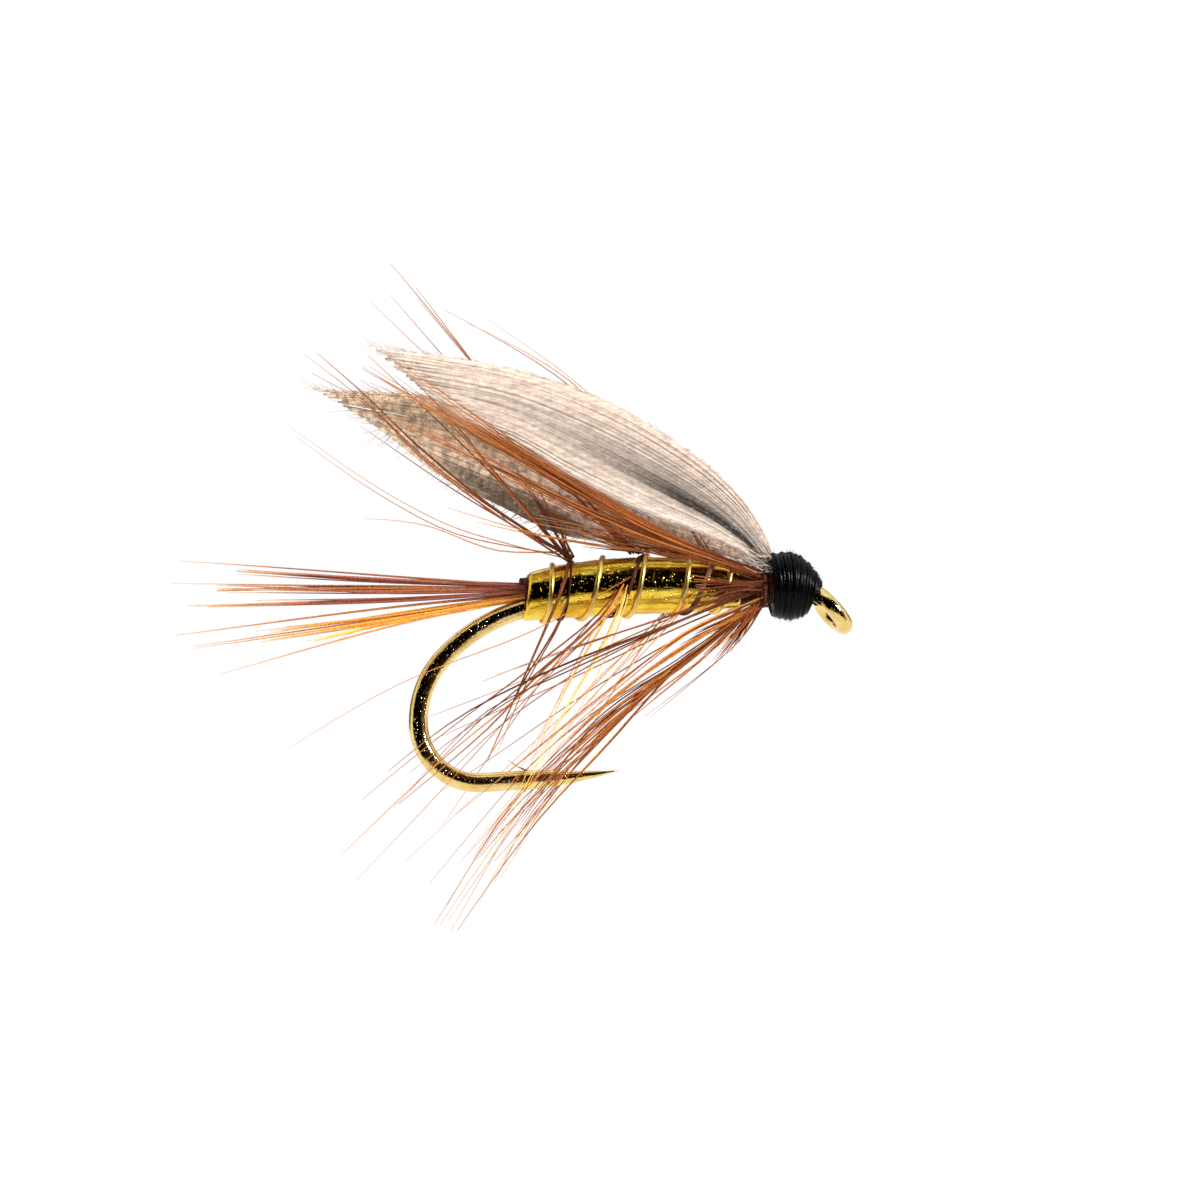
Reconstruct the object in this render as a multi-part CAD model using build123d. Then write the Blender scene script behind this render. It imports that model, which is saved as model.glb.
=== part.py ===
"""A winged wet fly tied on a size 10 down-eye hook, modelled piece by piece as it is tied.

Frame: millimetres, +X from the bend to the eye along the shank, +Z up, hook in the XZ plane.
The origin is the centre of the hook's eye. The side at -Y is the fly's right-hand side.
Places are laid out from a datum on the neck of the hook, just above the eye, and each piece is moved
as it is written, so that the eye's centre comes to the origin.

From the inside out: a bare hook, a bed of thread on its shank, a bunch of tail barbs laid along the top
of the shank and lashed down, a floss underbody, a skin of flat tinsel, a wound hackle held by a ribbing
wire, a collar hackle, two wing slips, and a head of thread closed with a whip finish.
"""
from build123d import *

import os
from math import cos, exp, pi, radians, sin, sqrt, tan

# ---------------------------------------------------------------- driving dimensions, millimetres
# Hook
WIRE_RADIUS = 0.315
SHANK_Z = 0.58  # height of the shank's axis over the datum
SHANK_REAR_X = -8.88  # where the straight shank ends and the bend begins
BEND_RADII = (5.80, 3.10, 1.95)  # the bend tightens towards the point
BEND_TURNS = (45.0, 45.0, 90.0)  # degrees turned by each of those arcs
POINT_TAPER_LENGTH = 3.1
POINT_STRAIGHT_LENGTH = 1.50
BARB_FRONT = 0.30  # how far the barb's foot starts in front of the straight run's end
BARB_LENGTH = 0.87  # from its foot in front to its tip
BARB_FOOT = 0.44  # length of its foot on the wire
BARB_SHOULDER = 0.18  # from the front of its foot to where it leaves the wire
BARB_RISE = 0.40
BARB_THICKNESS = 0.14
EYE_CENTRE = (0.15, 0.0, -0.17)  # from the datum
EYE_BORE_RADIUS = 0.42
EYE_WIRE_RADIUS = 0.27
EYE_BORE_LENGTH = 0.25  # length of the cylindrical land worn inside the eye
EYE_ANGLE = 52.0  # degrees that the eye is bent down from the shank
NECK_RADIUS = 0.60
NECK_OVERLAP = 0.6  # share of the eye wire's radius that the neck runs into the ring
EYE_GAP = 0.04  # slit left where the eye's wire closes on the neck
EYE_SLIT_ANGLE = 52.0  # degrees round the eye from the far side up to that slit
EYE_SLIT_SIZE = (0.7, 0.8)  # outward across the eye's wire and along the bore, more than the wire needs

# Thread and its wraps
THREAD_RADIUS = 0.05
THREAD_BASE_RADIUS = 0.405
THREAD_BASE_FRONT_X = -1.0
THREAD_BASE_TURNS = 40

# Body: an egg-shaped taper that stands higher over the shank than under it
BODY_REAR_X = -10.05
BODY_FRONT_X = -2.90
BODY_THICKEST_X = -6.80
BODY_RADII = (0.80, 0.945, 0.63)  # at its rear, at its thickest and at its front
BODY_AXIS_Z = (0.82, 1.01, 0.75)  # height of its axis at the same three places
BODY_REAR_TILT = 10.0  # degrees that the rear end leans with the start of the bend
BODY_TILT_X = -8.9  # where that lean begins
TINSEL_THICKNESS = 0.04
LAYER_GAP = 0.005  # between one layer and the next, so that no two solids share a face
FLOSS_REAR_X = -9.68

# Rib, hackles
RIB_RADIUS = 0.080
RIB_PITCH = 1.47
RIB_FIRST_EXTRA = 0.26  # how much wider its first turn is wound
RIB_FIRST_TOP_X = -9.09
RIB_START_PITCH = 0.70  # of its start, below and behind the first top
RIB_TURNS = (-0.5, 3.7)
STEM_RADIUS = 0.045
STEM_PITCH = 2.45
STEM_FIRST_TOP_X = -8.43
STEM_TURNS = (-0.35, 2.15)
COLLAR_X = (-2.42, -1.98)
COLLAR_TURNS = 3.5
COLLAR_AXIS_Z = 0.70
COLLAR_NECK_RADIUS = 0.54
COLLAR_NECK_X = (-2.86, -2.00)
BARB_ROOT_RADIUS = 0.032
BARB_TIP_RADIUS = 0.010

# Tail
TAIL_ROWS = 5
TAIL_COLUMNS = 5
TAIL_SPACING = 0.095
TAIL_BARB_RADIUS = 0.042
TAIL_FRONT_X = -3.15
TAIL_DROP = 0.21  # how far the bunch follows the start of the bend down
LASHING_TURNS = 3
LASHING_REAR_X = -9.98
LASHING_PITCH = 0.105
LASHING_RADIUS = 0.62
LASHING_AXIS_Z = 0.80
TAIL_TIP = (-11.9, -0.85)  # how far the longest barb reaches behind the body, and the lowest row's height
TAIL_FAN = (0.42, 0.74)  # how far apart the tips of neighbours are, sideways and upwards

# Wings
WING_THICKNESS = 0.11
WING_STATIONS = 14
WING_SPREAD = 0.55  # how far each slip's tip stands out from the middle plane
WING_FLARE = 0.55  # how much further its lower edge stands out half way
WING_BUTT_ROOM = (2.4, 0.60, 0.66)  # room for both butts inside the head
WING_BUTT_CORNER = (-3.2, -0.30, 0.93)

# Head
HEAD_X = (-1.80, -1.38, -0.42)  # rear, thickest and front
HEAD_RADII = (1.00, 1.11, 0.48)
HEAD_AXIS_Z = 0.75
HEAD_AXIS_DROP = 0.25  # how far its axis comes down at its front, where the wire turns into the eye
HEAD_TURNS = 14
WHIP_TURNS = 3
WHIP_PITCH = 0.07

STEPS_PER_TURN = 14  # flats round one turn of a wound strand
GOLDEN = 0.6180339887  # share of a turn that spreads repeated things evenly and without a pattern


# ---------------------------------------------------------------- helpers
def facet_rod(path, radii, sides):
    """A closed solid of flat facets round a list of points, with a radius at each point."""
    last = len(path) - 1
    rings = []
    across = None
    for place, (point, radius) in enumerate(zip(path, radii)):
        ahead = (path[min(place + 1, last)] - path[max(place - 1, 0)]).normalized()
        if across is None:
            across = ahead.cross(Vector(0, 0, 1) if abs(ahead.Z) < 0.9 else Vector(1, 0, 0))
        across = (across - ahead * across.dot(ahead)).normalized()
        up = ahead.cross(across)
        angles = [2 * pi * side / sides for side in range(sides)]
        rings.append([point + across * (radius * cos(a)) + up * (radius * sin(a)) for a in angles])
    return facet_skin(rings)


def facet_skin(rings):
    """A closed solid whose skin joins a row of rings, each with the same number of corners."""
    sides = len(rings[0])
    faces = [polygon(rings[0]), polygon(rings[-1])]
    for near, far in zip(rings, rings[1:]):
        for side in range(sides):
            beside = (side + 1) % sides
            faces.append(polygon([near[side], near[beside], far[beside]]))
            faces.append(polygon([near[side], far[beside], far[side]]))
    return Solid(Shell(faces))


def polygon(corners):
    return Face(Wire.make_polygon(corners))


def mix(low, high, share):
    return low + (high - low) * share


def smooth_line(points, share):
    """The point at a share of the way along a smooth curve through a list of (x, z) points."""
    count = len(points) - 1
    place = min(int(share * count), count - 1)
    t = share * count - place
    before, start = points[max(place - 1, 0)], points[place]
    end, after = points[place + 1], points[min(place + 2, count)]

    def blend(a, b, c, d):
        square = 2 * a - 5 * b + 4 * c - d
        cube = 3 * (b - c) + d - a
        return 0.5 * (2 * b + (c - a) * t + square * t**2 + cube * t**3)

    return tuple(blend(*four) for four in zip(before, start, end, after))


def coil(centre_z, radius, x_at, turns, steps_per_turn=STEPS_PER_TURN):
    """Points of a strand wound about the X direction. Whole numbers of turns are at the top of the fly,
    and the strand climbs on the near side, at -Y, as it goes towards the eye."""
    count = max(2, round((turns[1] - turns[0]) * steps_per_turn))
    points = []
    for step in range(count + 1):
        turn = mix(turns[0], turns[1], step / count)
        x = x_at(turn)
        angle = 2 * pi * turn
        points.append(Vector(x, radius(x, turn) * sin(angle), centre_z(x) + radius(x, turn) * cos(angle)))
    return points


def cylinder_along(rear_x, front_x, radius, axis_z):
    """A cylinder along X, between two places."""
    return Solid.make_cylinder(radius, front_x - rear_x, Plane(origin=(rear_x, 0, axis_z), z_dir=(1, 0, 0)))


# ---------------------------------------------------------------- shapes that several pieces share
def body_share(x):
    """How far x is from the thickest place towards the body's rear (0) or front (2), and which end."""
    if x < BODY_THICKEST_X:
        return (BODY_THICKEST_X - x) / (BODY_THICKEST_X - BODY_REAR_X), 0
    return (x - BODY_THICKEST_X) / (BODY_FRONT_X - BODY_THICKEST_X), 2


def body_radius(x):
    share, end = body_share(x)
    power = 2 if end == 0 else 3
    return mix(BODY_RADII[1], BODY_RADII[end], min(share, 1.0) ** power)


def body_axis(x):
    share, end = body_share(x)
    return mix(BODY_AXIS_Z[1], BODY_AXIS_Z[end], min(share, 1.0) ** 2)


def head_radius(x):
    rear, thickest, front = HEAD_X
    if x < thickest:
        return mix(HEAD_RADII[1], HEAD_RADII[0], ((thickest - x) / (thickest - rear)) ** 2)
    return mix(HEAD_RADII[1], HEAD_RADII[2], ((x - thickest) / (front - thickest)) ** 2)


def head_axis(x):
    """The head's axis runs down to the wire where the shank turns into the eye."""
    rear, thickest, front = HEAD_X
    return HEAD_AXIS_Z - HEAD_AXIS_DROP * max(0.0, (x - thickest) / (front - thickest)) ** 3


def taper_along_body(inset, rear_x, front_x, stations=9):
    """A solid of the body's shape, smaller by inset, between two places along it."""
    rings = []
    for station in range(stations):
        x = mix(rear_x, front_x, station / (stations - 1))
        lean = radians(BODY_REAR_TILT * max(0.0, (BODY_TILT_X - x) / (BODY_TILT_X - BODY_REAR_X)))
        plane = Plane(origin=(x, 0, body_axis(x)), x_dir=(0, 1, 0), z_dir=(cos(lean), 0, sin(lean)))
        rings.append(Wire.make_circle(body_radius(x) - inset, plane))
    return Solid.make_loft(rings)


# ---------------------------------------------------------------- hook
def hook_path():
    """The wire's centreline from the neck of the eye to the start of the point's taper."""
    up_neck = EYE_BORE_RADIUS + NECK_OVERLAP * EYE_WIRE_RADIUS
    start_x = EYE_CENTRE[0] - up_neck * cos(radians(EYE_ANGLE))
    start_z = EYE_CENTRE[2] + up_neck * sin(radians(EYE_ANGLE))
    bend_x = start_x - (SHANK_Z - start_z) / tan(radians(EYE_ANGLE))
    neck = FilletPolyline(
        (start_x, 0, start_z),
        (bend_x, 0, SHANK_Z),
        (SHANK_REAR_X, 0, SHANK_Z),
        radius=NECK_RADIUS,
    )
    edges = list(neck.edges())
    x, z, heading = SHANK_REAR_X, SHANK_Z, 180.0
    for radius, turn in zip(BEND_RADII, BEND_TURNS):
        arc, x, z, heading = bend_arc(x, z, heading, radius, turn)
        edges.append(arc)
    edges.append(Line((x, 0, z), (x + POINT_STRAIGHT_LENGTH, 0, z)))
    return Wire(edges), (x + POINT_STRAIGHT_LENGTH, z)


def bend_arc(x, z, heading, radius, turn):
    """An arc in the XZ plane that turns left from a heading, with its far end and new heading."""
    centre_x = x + radius * cos(radians(heading + 90))
    centre_z = z + radius * sin(radians(heading + 90))

    def place(angle):
        return (centre_x + radius * cos(radians(angle)), 0, centre_z + radius * sin(radians(angle)))

    start = heading - 90
    middle, end = place(start + turn / 2), place(start + turn)
    return ThreePointArc((x, 0, z), middle, end), end[0], end[2], heading + turn


def make_hook():
    path, (taper_x, point_z) = hook_path()
    section = Plane(origin=path @ 0, z_dir=path % 0)
    wire = Solid.sweep(Face(Wire.make_circle(WIRE_RADIUS, section)), path)
    hook = wire.fuse(hook_point(taper_x, point_z)).fuse(barb(taper_x, point_z)).fuse(eye_ring())
    bore = Solid.make_cylinder(EYE_BORE_RADIUS, 2, eye_plane().offset(-1))
    return hook.cut(bore).cut(eye_slit())


def hook_point(taper_x, point_z):
    """The taper of the wire to its point, which rises a little towards the top of the wire."""
    stations = ((0.0, 0.0, 1.0), (0.55, 0.1, 0.68), (1.0, 0.6, 0.04))
    rings = []
    for share, rise, narrowing in stations:
        middle = (taper_x + POINT_TAPER_LENGTH * share, 0, point_z + WIRE_RADIUS * rise)
        rings.append(Wire.make_circle(WIRE_RADIUS * narrowing, Plane(origin=middle, z_dir=(1, 0, 0))))
    return Solid.make_loft(rings)


def eye_plane():
    """The plane of the eye's ring: its second direction points up the neck to the shank."""
    lean = radians(EYE_ANGLE)
    return Plane(origin=EYE_CENTRE, x_dir=(0, 1, 0), z_dir=(sin(lean), 0, cos(lean)))


def eye_ring():
    """The ring of the eye, set so that the bore wears a cylindrical land of the wanted length in it."""
    worn = sqrt(EYE_WIRE_RADIUS**2 - (EYE_BORE_LENGTH / 2) ** 2)
    return Solid.make_torus(EYE_BORE_RADIUS + worn, EYE_WIRE_RADIUS, eye_plane())


def eye_slit():
    """The slit between the end of the eye's wire and the neck, on the far side."""
    plane = eye_plane()
    angle = radians(EYE_SLIT_ANGLE)
    outward = plane.x_dir * cos(angle) + plane.y_dir * sin(angle)
    tangent = plane.z_dir.cross(outward)
    across, along = EYE_SLIT_SIZE
    inside = outward * (EYE_BORE_RADIUS - 0.05) - plane.z_dir * (along / 2)
    corner = plane.origin + inside - tangent * (EYE_GAP / 2)
    return Solid.make_box(across, EYE_GAP, along, Plane(origin=corner, x_dir=outward, z_dir=plane.z_dir))


def barb(taper_x, point_z):
    """A sliver cut up from the wire behind the point, leaning back towards the bend."""
    foot_z = point_z + WIRE_RADIUS * 0.55
    front_x = taper_x + BARB_FRONT
    corners = [
        (front_x, foot_z),
        (front_x - BARB_SHOULDER, point_z + WIRE_RADIUS + 0.01),
        (front_x - BARB_LENGTH, point_z + WIRE_RADIUS + BARB_RISE),
        (front_x - BARB_FOOT, foot_z),
    ]
    face = polygon([Vector(x, -BARB_THICKNESS / 2, z) for x, z in corners])
    return Solid.extrude(face, Vector(0, BARB_THICKNESS, 0))


# ---------------------------------------------------------------- thread base, tail, underbody
def make_thread_base():
    """The bed of touching thread turns on the straight shank, as a grooved sleeve."""
    length = THREAD_BASE_FRONT_X - SHANK_REAR_X
    pitch = length / THREAD_BASE_TURNS
    inner = WIRE_RADIUS + LAYER_GAP
    outline = [(SHANK_REAR_X, inner)]
    for turn in range(THREAD_BASE_TURNS):
        x = SHANK_REAR_X + turn * pitch
        outline += [(x, THREAD_BASE_RADIUS - 0.03), (x + pitch / 2, THREAD_BASE_RADIUS)]
    outline += [(THREAD_BASE_FRONT_X, THREAD_BASE_RADIUS - 0.03), (THREAD_BASE_FRONT_X, inner)]
    face = polygon([Vector(x, 0, SHANK_Z + r) for x, r in outline])
    return Solid.revolve(face, 360, Axis((0, 0, SHANK_Z), (1, 0, 0)))


def tail_place(row, column):
    """Where a tail barb lies in the packed bunch on top of the thread base: (y, z)."""
    y = (column - (TAIL_COLUMNS - 1) / 2) * TAIL_SPACING
    z = SHANK_Z + THREAD_BASE_RADIUS + TAIL_BARB_RADIUS + 0.01 + row * TAIL_SPACING
    return y, z


def make_tail_barbs():
    """Barbs that run along the shank under the floss and fan out behind the body."""
    barbs = []
    for row in range(TAIL_ROWS):
        for column in range(TAIL_COLUMNS):
            number = row * TAIL_COLUMNS + column
            y, z = tail_place(row, column)
            reach = mix(0.80, 1.0, (number * GOLDEN) % 1)
            tip = Vector(
                BODY_REAR_X + TAIL_TIP[0] * reach,
                (column - 2) * TAIL_FAN[0] + 0.25 * sin(number * 2.1),
                TAIL_TIP[1] + row * TAIL_FAN[1] + 0.30 * sin(number * 1.3),
            )
            leaving = Vector(BODY_REAR_X - 0.15, y * 0.95, z - TAIL_DROP)
            middle = mix(leaving, tip, 0.5) + Vector(0, 0, 0.10 * (row - 1))
            path = [Vector(TAIL_FRONT_X, y, z), Vector(SHANK_REAR_X, y, z), leaving, middle, tip]
            radii = [TAIL_BARB_RADIUS] * 3 + [TAIL_BARB_RADIUS * 0.8, BARB_TIP_RADIUS]
            barbs.append(facet_rod(path, radii, 4))
    return Compound(barbs)


def tail_channel():
    """The room that the bunch of tail barbs takes inside the floss."""
    half = TAIL_SPACING * TAIL_COLUMNS / 2 + 0.02
    low = tail_place(0, 0)[1] - TAIL_SPACING / 2
    high = tail_place(TAIL_ROWS - 1, 0)[1] + TAIL_SPACING / 2 + 0.03
    stations = ((TAIL_FRONT_X + 0.02, 0), (SHANK_REAR_X, 0), (FLOSS_REAR_X - 0.5, TAIL_DROP * 1.09))
    rings = []
    for x, drop in stations:
        rings.append(
            [
                Vector(x, -half, low - drop),
                Vector(x, half, low - drop),
                Vector(x, half, high - drop),
                Vector(x, -half, high - drop),
            ]
        )
    return facet_skin(rings)


def make_tail_lashing():
    """The thread turns that hold the tail bunch down at the start of the bend."""
    path = coil(
        lambda x: LASHING_AXIS_Z,
        lambda x, turn: LASHING_RADIUS,
        lambda turn: LASHING_REAR_X + LASHING_PITCH * turn,
        (0.0, LASHING_TURNS),
    )
    return facet_rod(path, [THREAD_RADIUS] * len(path), 5)


def make_floss(hook):
    """The floss underbody, with room inside for the shank, its thread and the tail bunch."""
    inset = TINSEL_THICKNESS + 2 * LAYER_GAP
    floss = taper_along_body(inset, FLOSS_REAR_X, TAIL_FRONT_X + 0.12)
    sleeve = cylinder_along(SHANK_REAR_X - 0.1, THREAD_BASE_FRONT_X, THREAD_BASE_RADIUS + LAYER_GAP, SHANK_Z)
    return floss.cut(sleeve, tail_channel(), hook)


def make_tinsel():
    """The flat tinsel, wound edge to edge into one closed skin."""
    outer = taper_along_body(0, BODY_REAR_X, BODY_FRONT_X)
    inner = taper_along_body(TINSEL_THICKNESS, BODY_REAR_X - 0.02, BODY_FRONT_X + 0.02)
    return outer.cut(inner)


# ---------------------------------------------------------------- rib and hackles
def rib_x(turn):
    if turn < 0:
        return RIB_FIRST_TOP_X + RIB_START_PITCH * turn
    return RIB_FIRST_TOP_X + RIB_PITCH * turn + RIB_FIRST_EXTRA * min(turn, 1.0)


def stem_x(turn):
    """The stem's last turns at the rear lie closer together, where it is tied off."""
    return STEM_FIRST_TOP_X + STEM_PITCH * turn * (1.0 if turn > 0 else 0.4)


def rib_lift(turn):
    """How far the rib rises where it crosses over the hackle stem."""
    crossing = (STEM_FIRST_TOP_X - STEM_PITCH - RIB_FIRST_TOP_X - RIB_FIRST_EXTRA) / (RIB_PITCH - STEM_PITCH)
    return 2.1 * STEM_RADIUS * exp(-(((turn - crossing) / 0.10) ** 2))


def make_rib():
    def radius(x, turn):
        return body_radius(x) + RIB_RADIUS + LAYER_GAP + rib_lift(turn)

    path = coil(body_axis, radius, rib_x, RIB_TURNS, 20)
    return facet_rod(path, [RIB_RADIUS] * len(path), 6)


def stem_point(turn, out=0.0):
    x = stem_x(turn)
    angle = 2 * pi * turn
    radius = body_radius(x) + STEM_RADIUS + LAYER_GAP + out
    return Vector(x, radius * sin(angle), body_axis(x) + radius * cos(angle))


def make_body_hackle_stem():
    def radius(x, turn):
        return body_radius(x) + STEM_RADIUS + LAYER_GAP

    path = coil(body_axis, radius, stem_x, STEM_TURNS)
    count = len(path) - 1
    return facet_rod(path, [mix(0.7, 1.0, place / count) * STEM_RADIUS for place in range(count + 1)], 5)


def collar_point(turn, out=0.0):
    x = mix(*COLLAR_X, turn / COLLAR_TURNS)
    angle = 2 * pi * turn
    radius = COLLAR_NECK_RADIUS + STEM_RADIUS + LAYER_GAP + out
    return Vector(x, radius * sin(angle), COLLAR_AXIS_Z + radius * cos(angle))


def make_collar_stem():
    steps = round(COLLAR_TURNS * STEPS_PER_TURN)
    path = [collar_point(step / STEPS_PER_TURN) for step in range(steps + 1)]
    return facet_rod(path, [STEM_RADIUS * 1.2] * len(path), 5)


def make_neck():
    """The short neck of thread between the body and the head, which carries the collar hackle."""
    rear, front = COLLAR_NECK_X
    neck = cylinder_along(rear, front, COLLAR_NECK_RADIUS, COLLAR_AXIS_Z)
    sleeve = cylinder_along(rear - 0.5, front + 0.5, THREAD_BASE_RADIUS + LAYER_GAP, SHANK_Z)
    return neck.cut(sleeve)


# Each fan is a bunch of barbs from one stretch of a stem: (turns of the stem, number of barbs,
# first tip, last tip, how far sideways their middles are pushed, how far up). Tips are (x, y, z).
BODY_FANS = (
    ((-0.08, 0.06), 6, (-16.8, -1.4, 9.3), (-14.9, 0.9, 8.0), 0.0, -0.9),
    ((-0.12, 0.04), 6, (-18.1, -1.2, 6.8), (-13.6, 1.6, 3.9), 0.0, -0.7),
    ((-0.05, 0.08), 5, (-11.3, -0.8, 5.4), (-8.6, 0.9, 3.6), 0.0, 0.0),
    ((-0.30, -0.16), 5, (-11.6, -5.0, -4.6), (-14.6, -5.2, -3.2), -0.9, 0.2),
    ((0.16, 0.32), 5, (-11.2, 5.0, -4.9), (-14.2, 5.2, -3.0), 0.9, 0.2),
    ((0.90, 1.08), 8, (-14.4, -1.4, 5.2), (-10.6, 1.4, 6.6), 0.0, -0.5),
    ((0.66, 0.80), 7, (-18.6, -4.4, -4.0), (-12.9, -4.9, -7.6), -1.4, 0.5),
    ((1.18, 1.34), 7, (-16.6, 4.6, -6.8), (-12.4, 4.8, -8.4), 1.4, 0.5),
    ((1.64, 1.80), 7, (-15.6, -3.6, -7.6), (-10.9, -3.8, -9.0), -1.5, 0.4),
    ((1.92, 2.08), 6, (-12.6, -1.3, 5.8), (-8.8, 1.3, 5.6), 0.0, -0.4),
)
COLLAR_FANS = (
    ((0.72, 0.98), 16, (-16.1, -2.2, 8.6), (-8.8, -2.0, 4.2), -0.5, -0.4),
    ((1.05, 1.30), 12, (-15.2, 2.2, 7.8), (-8.2, 2.1, 4.4), 0.5, -0.4),
    ((1.98, 2.06), 3, (-14.9, 0.9, 11.1), (-12.3, 1.2, 11.9), 0.3, 0.6),
    ((1.58, 1.80), 13, (-14.8, -4.6, -2.6), (-12.0, -3.6, -8.4), -1.1, 0.4),
    ((2.20, 2.42), 13, (-14.4, 4.6, -2.9), (-11.6, 3.6, -8.8), 1.1, 0.4),
    ((1.50, 1.66), 16, (-13.2, -1.6, -10.3), (-9.8, -1.1, -5.4), -0.6, 1.5),
    ((2.36, 2.52), 14, (-13.0, 1.6, -10.2), (-9.6, 1.1, -5.0), 0.6, 1.4),
    ((2.48, 2.52), 3, (-6.8, -0.5, -3.4), (-5.8, 0.6, -3.6), 0.0, -0.8),
)


def make_barbs(fans, root_at):
    """Every barb of a hackle, as slender three-sided spikes bent once along their length."""
    barbs = []
    for number, (turns, count, first, last, sideways, upwards) in enumerate(fans):
        for place in range(count):
            share = (place + 0.5) / count
            root = root_at(mix(*turns, (place * GOLDEN + 0.3 * number) % 1), STEM_RADIUS * 0.9)
            jitter = sin(7.3 * place + number)
            tip = mix(Vector(*first), Vector(*last), share) + Vector(0.35, 0.25, 0.3) * jitter
            bend = mix(root, tip, 0.5) + Vector(0, sideways, upwards)
            path = [bezier(root, bend, tip, t) for t in (0.0, 0.33, 0.67, 1.0)]
            radii = [mix(BARB_ROOT_RADIUS, BARB_TIP_RADIUS, t) for t in (0.0, 0.33, 0.67, 1.0)]
            barbs.append(facet_rod(path, radii, 3))
    return Compound(barbs)


def bezier(start, middle, end, t):
    return start * (1 - t) ** 2 + middle * (2 * t * (1 - t)) + end * t**2


# ---------------------------------------------------------------- wings
# Edges of the slips as (x, z), from the butt under the head to the tip.
NEAR_UPPER = (
    (-0.95, 1.22), (-1.55, 1.46), (-1.90, 1.62), (-2.02, 2.60), (-2.90, 4.05), (-4.70, 5.72),
    (-7.40, 7.35), (-10.60, 8.50), (-14.78, 9.34),
)
NEAR_LOWER = (
    (-0.95, 1.00), (-1.55, 1.02), (-1.98, 1.36), (-2.60, 1.86), (-4.10, 2.55), (-6.40, 3.42),
    (-9.10, 5.08), (-11.90, 6.62), (-14.45, 8.95),
)
FAR_UPPER = (
    (-0.95, 1.22), (-1.55, 1.46), (-1.90, 1.62), (-2.10, 2.40), (-3.30, 3.65), (-5.60, 5.20),
    (-9.00, 6.70), (-12.60, 7.65), (-16.45, 8.15),
)
FAR_LOWER = (
    (-0.95, 1.00), (-1.55, 1.02), (-1.98, 1.36), (-2.70, 1.75), (-4.90, 2.25), (-7.60, 2.75),
    (-10.30, 3.85), (-13.20, 5.75), (-15.60, 7.55),
)


def make_wing(upper, lower, side):
    """A wing slip as a thin blade that stands away from its pair towards the tip."""
    rings = []
    for station in range(WING_STATIONS):
        share = station / (WING_STATIONS - 1)
        upper_x, upper_z = smooth_line(upper, share)
        lower_x, lower_z = smooth_line(lower, share)
        inner = 0.015 + WING_SPREAD * share**1.5
        flare = WING_FLARE * sin(pi * min(1.0, 1.15 * share))
        rings.append(
            [
                Vector(lower_x, side * (inner + flare), lower_z),
                Vector(lower_x, side * (inner + flare + WING_THICKNESS), lower_z),
                Vector(upper_x, side * (inner + WING_THICKNESS), upper_z),
                Vector(upper_x, side * inner, upper_z),
            ]
        )
    return facet_skin(rings)


# ---------------------------------------------------------------- head
def make_head_core():
    """The build-up of thread inside the head, with room for the shank, its thread and the wing butts."""
    inset = 2 * THREAD_RADIUS + 6 * LAYER_GAP
    rear, front = HEAD_X[0] + 0.04, HEAD_X[2] - 0.20
    rings = []
    for station in range(9):
        x = mix(rear, front, station / 8)
        plane = Plane(origin=(x, 0, head_axis(x)), z_dir=(1, 0, 0))
        rings.append(Wire.make_circle(head_radius(x) - inset, plane))
    core = Solid.make_loft(rings)
    sleeve = cylinder_along(rear - 1, front + 1, THREAD_BASE_RADIUS + LAYER_GAP, SHANK_Z)
    room = Solid.make_box(*WING_BUTT_ROOM, Plane(origin=WING_BUTT_CORNER))
    return core.cut(sleeve, room)


def head_wrap(turns, x_at):
    def radius(x, turn):
        return head_radius(x) - THREAD_RADIUS

    path = coil(head_axis, radius, x_at, turns)
    return facet_rod(path, [THREAD_RADIUS] * len(path), 5)


def make_head_wraps():
    """The outer layer of thread turns that shows as the head, wound from its rear to its front."""
    rear, front = HEAD_X[0], HEAD_X[2] - WHIP_TURNS * WHIP_PITCH - 0.09
    return head_wrap((0, HEAD_TURNS), lambda turn: mix(rear, front, turn / HEAD_TURNS))


def make_whip_finish():
    """The last turns, which lie over their own end and lock the thread in front of the head."""
    rear, front = HEAD_X[2] - WHIP_TURNS * WHIP_PITCH, HEAD_X[2]
    return head_wrap((0, WHIP_TURNS), lambda turn: mix(rear, front, turn / WHIP_TURNS))


def write(shape, node):
    to_eye = Location(-Vector(*EYE_CENTRE))
    export_step(shape.moved(to_eye), f"parts/{node}.step")


def main():
    os.makedirs("parts", exist_ok=True)
    hook = make_hook()
    write(hook, "hook")
    write(make_thread_base(), "thread_base")
    write(make_tail_barbs(), "tail_barbs")
    write(make_tail_lashing(), "tail_lashing")
    write(make_floss(hook), "floss_underbody")
    write(make_tinsel(), "tinsel_body")
    write(make_rib(), "rib_wire")
    write(make_body_hackle_stem(), "body_hackle_stem")
    write(make_barbs(BODY_FANS, stem_point), "body_hackle_barbs")
    write(make_neck(), "neck_wraps")
    write(make_collar_stem(), "collar_hackle_stem")
    write(make_barbs(COLLAR_FANS, collar_point), "collar_hackle_barbs")
    write(make_wing(NEAR_UPPER, NEAR_LOWER, -1), "wing_slip_right")
    write(make_wing(FAR_UPPER, FAR_LOWER, 1), "wing_slip_left")
    write(make_head_core(), "head_core")
    write(make_head_wraps(), "head_wraps")
    write(make_whip_finish(), "whip_finish")


main()
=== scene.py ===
"""The looks of a winged wet fly, built round its CAD frame.

Every piece is worked out in millimetres along the axes of the CAD model (+X towards the eye, +Z up) from
a datum on the neck of the hook. It becomes metres from the frame's own origin, the centre of the eye, when
its mesh is made. The side at -Y is the fly's right-hand side, which the camera sees. Barbs, threads and
wires are strands: tubes of mesh along a path, with an "along" value from root to tip and a "tone" value
of their own that the materials colour them by.
"""

import math
import random

import bpy
import numpy as np
from mathutils import Matrix, Vector


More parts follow.
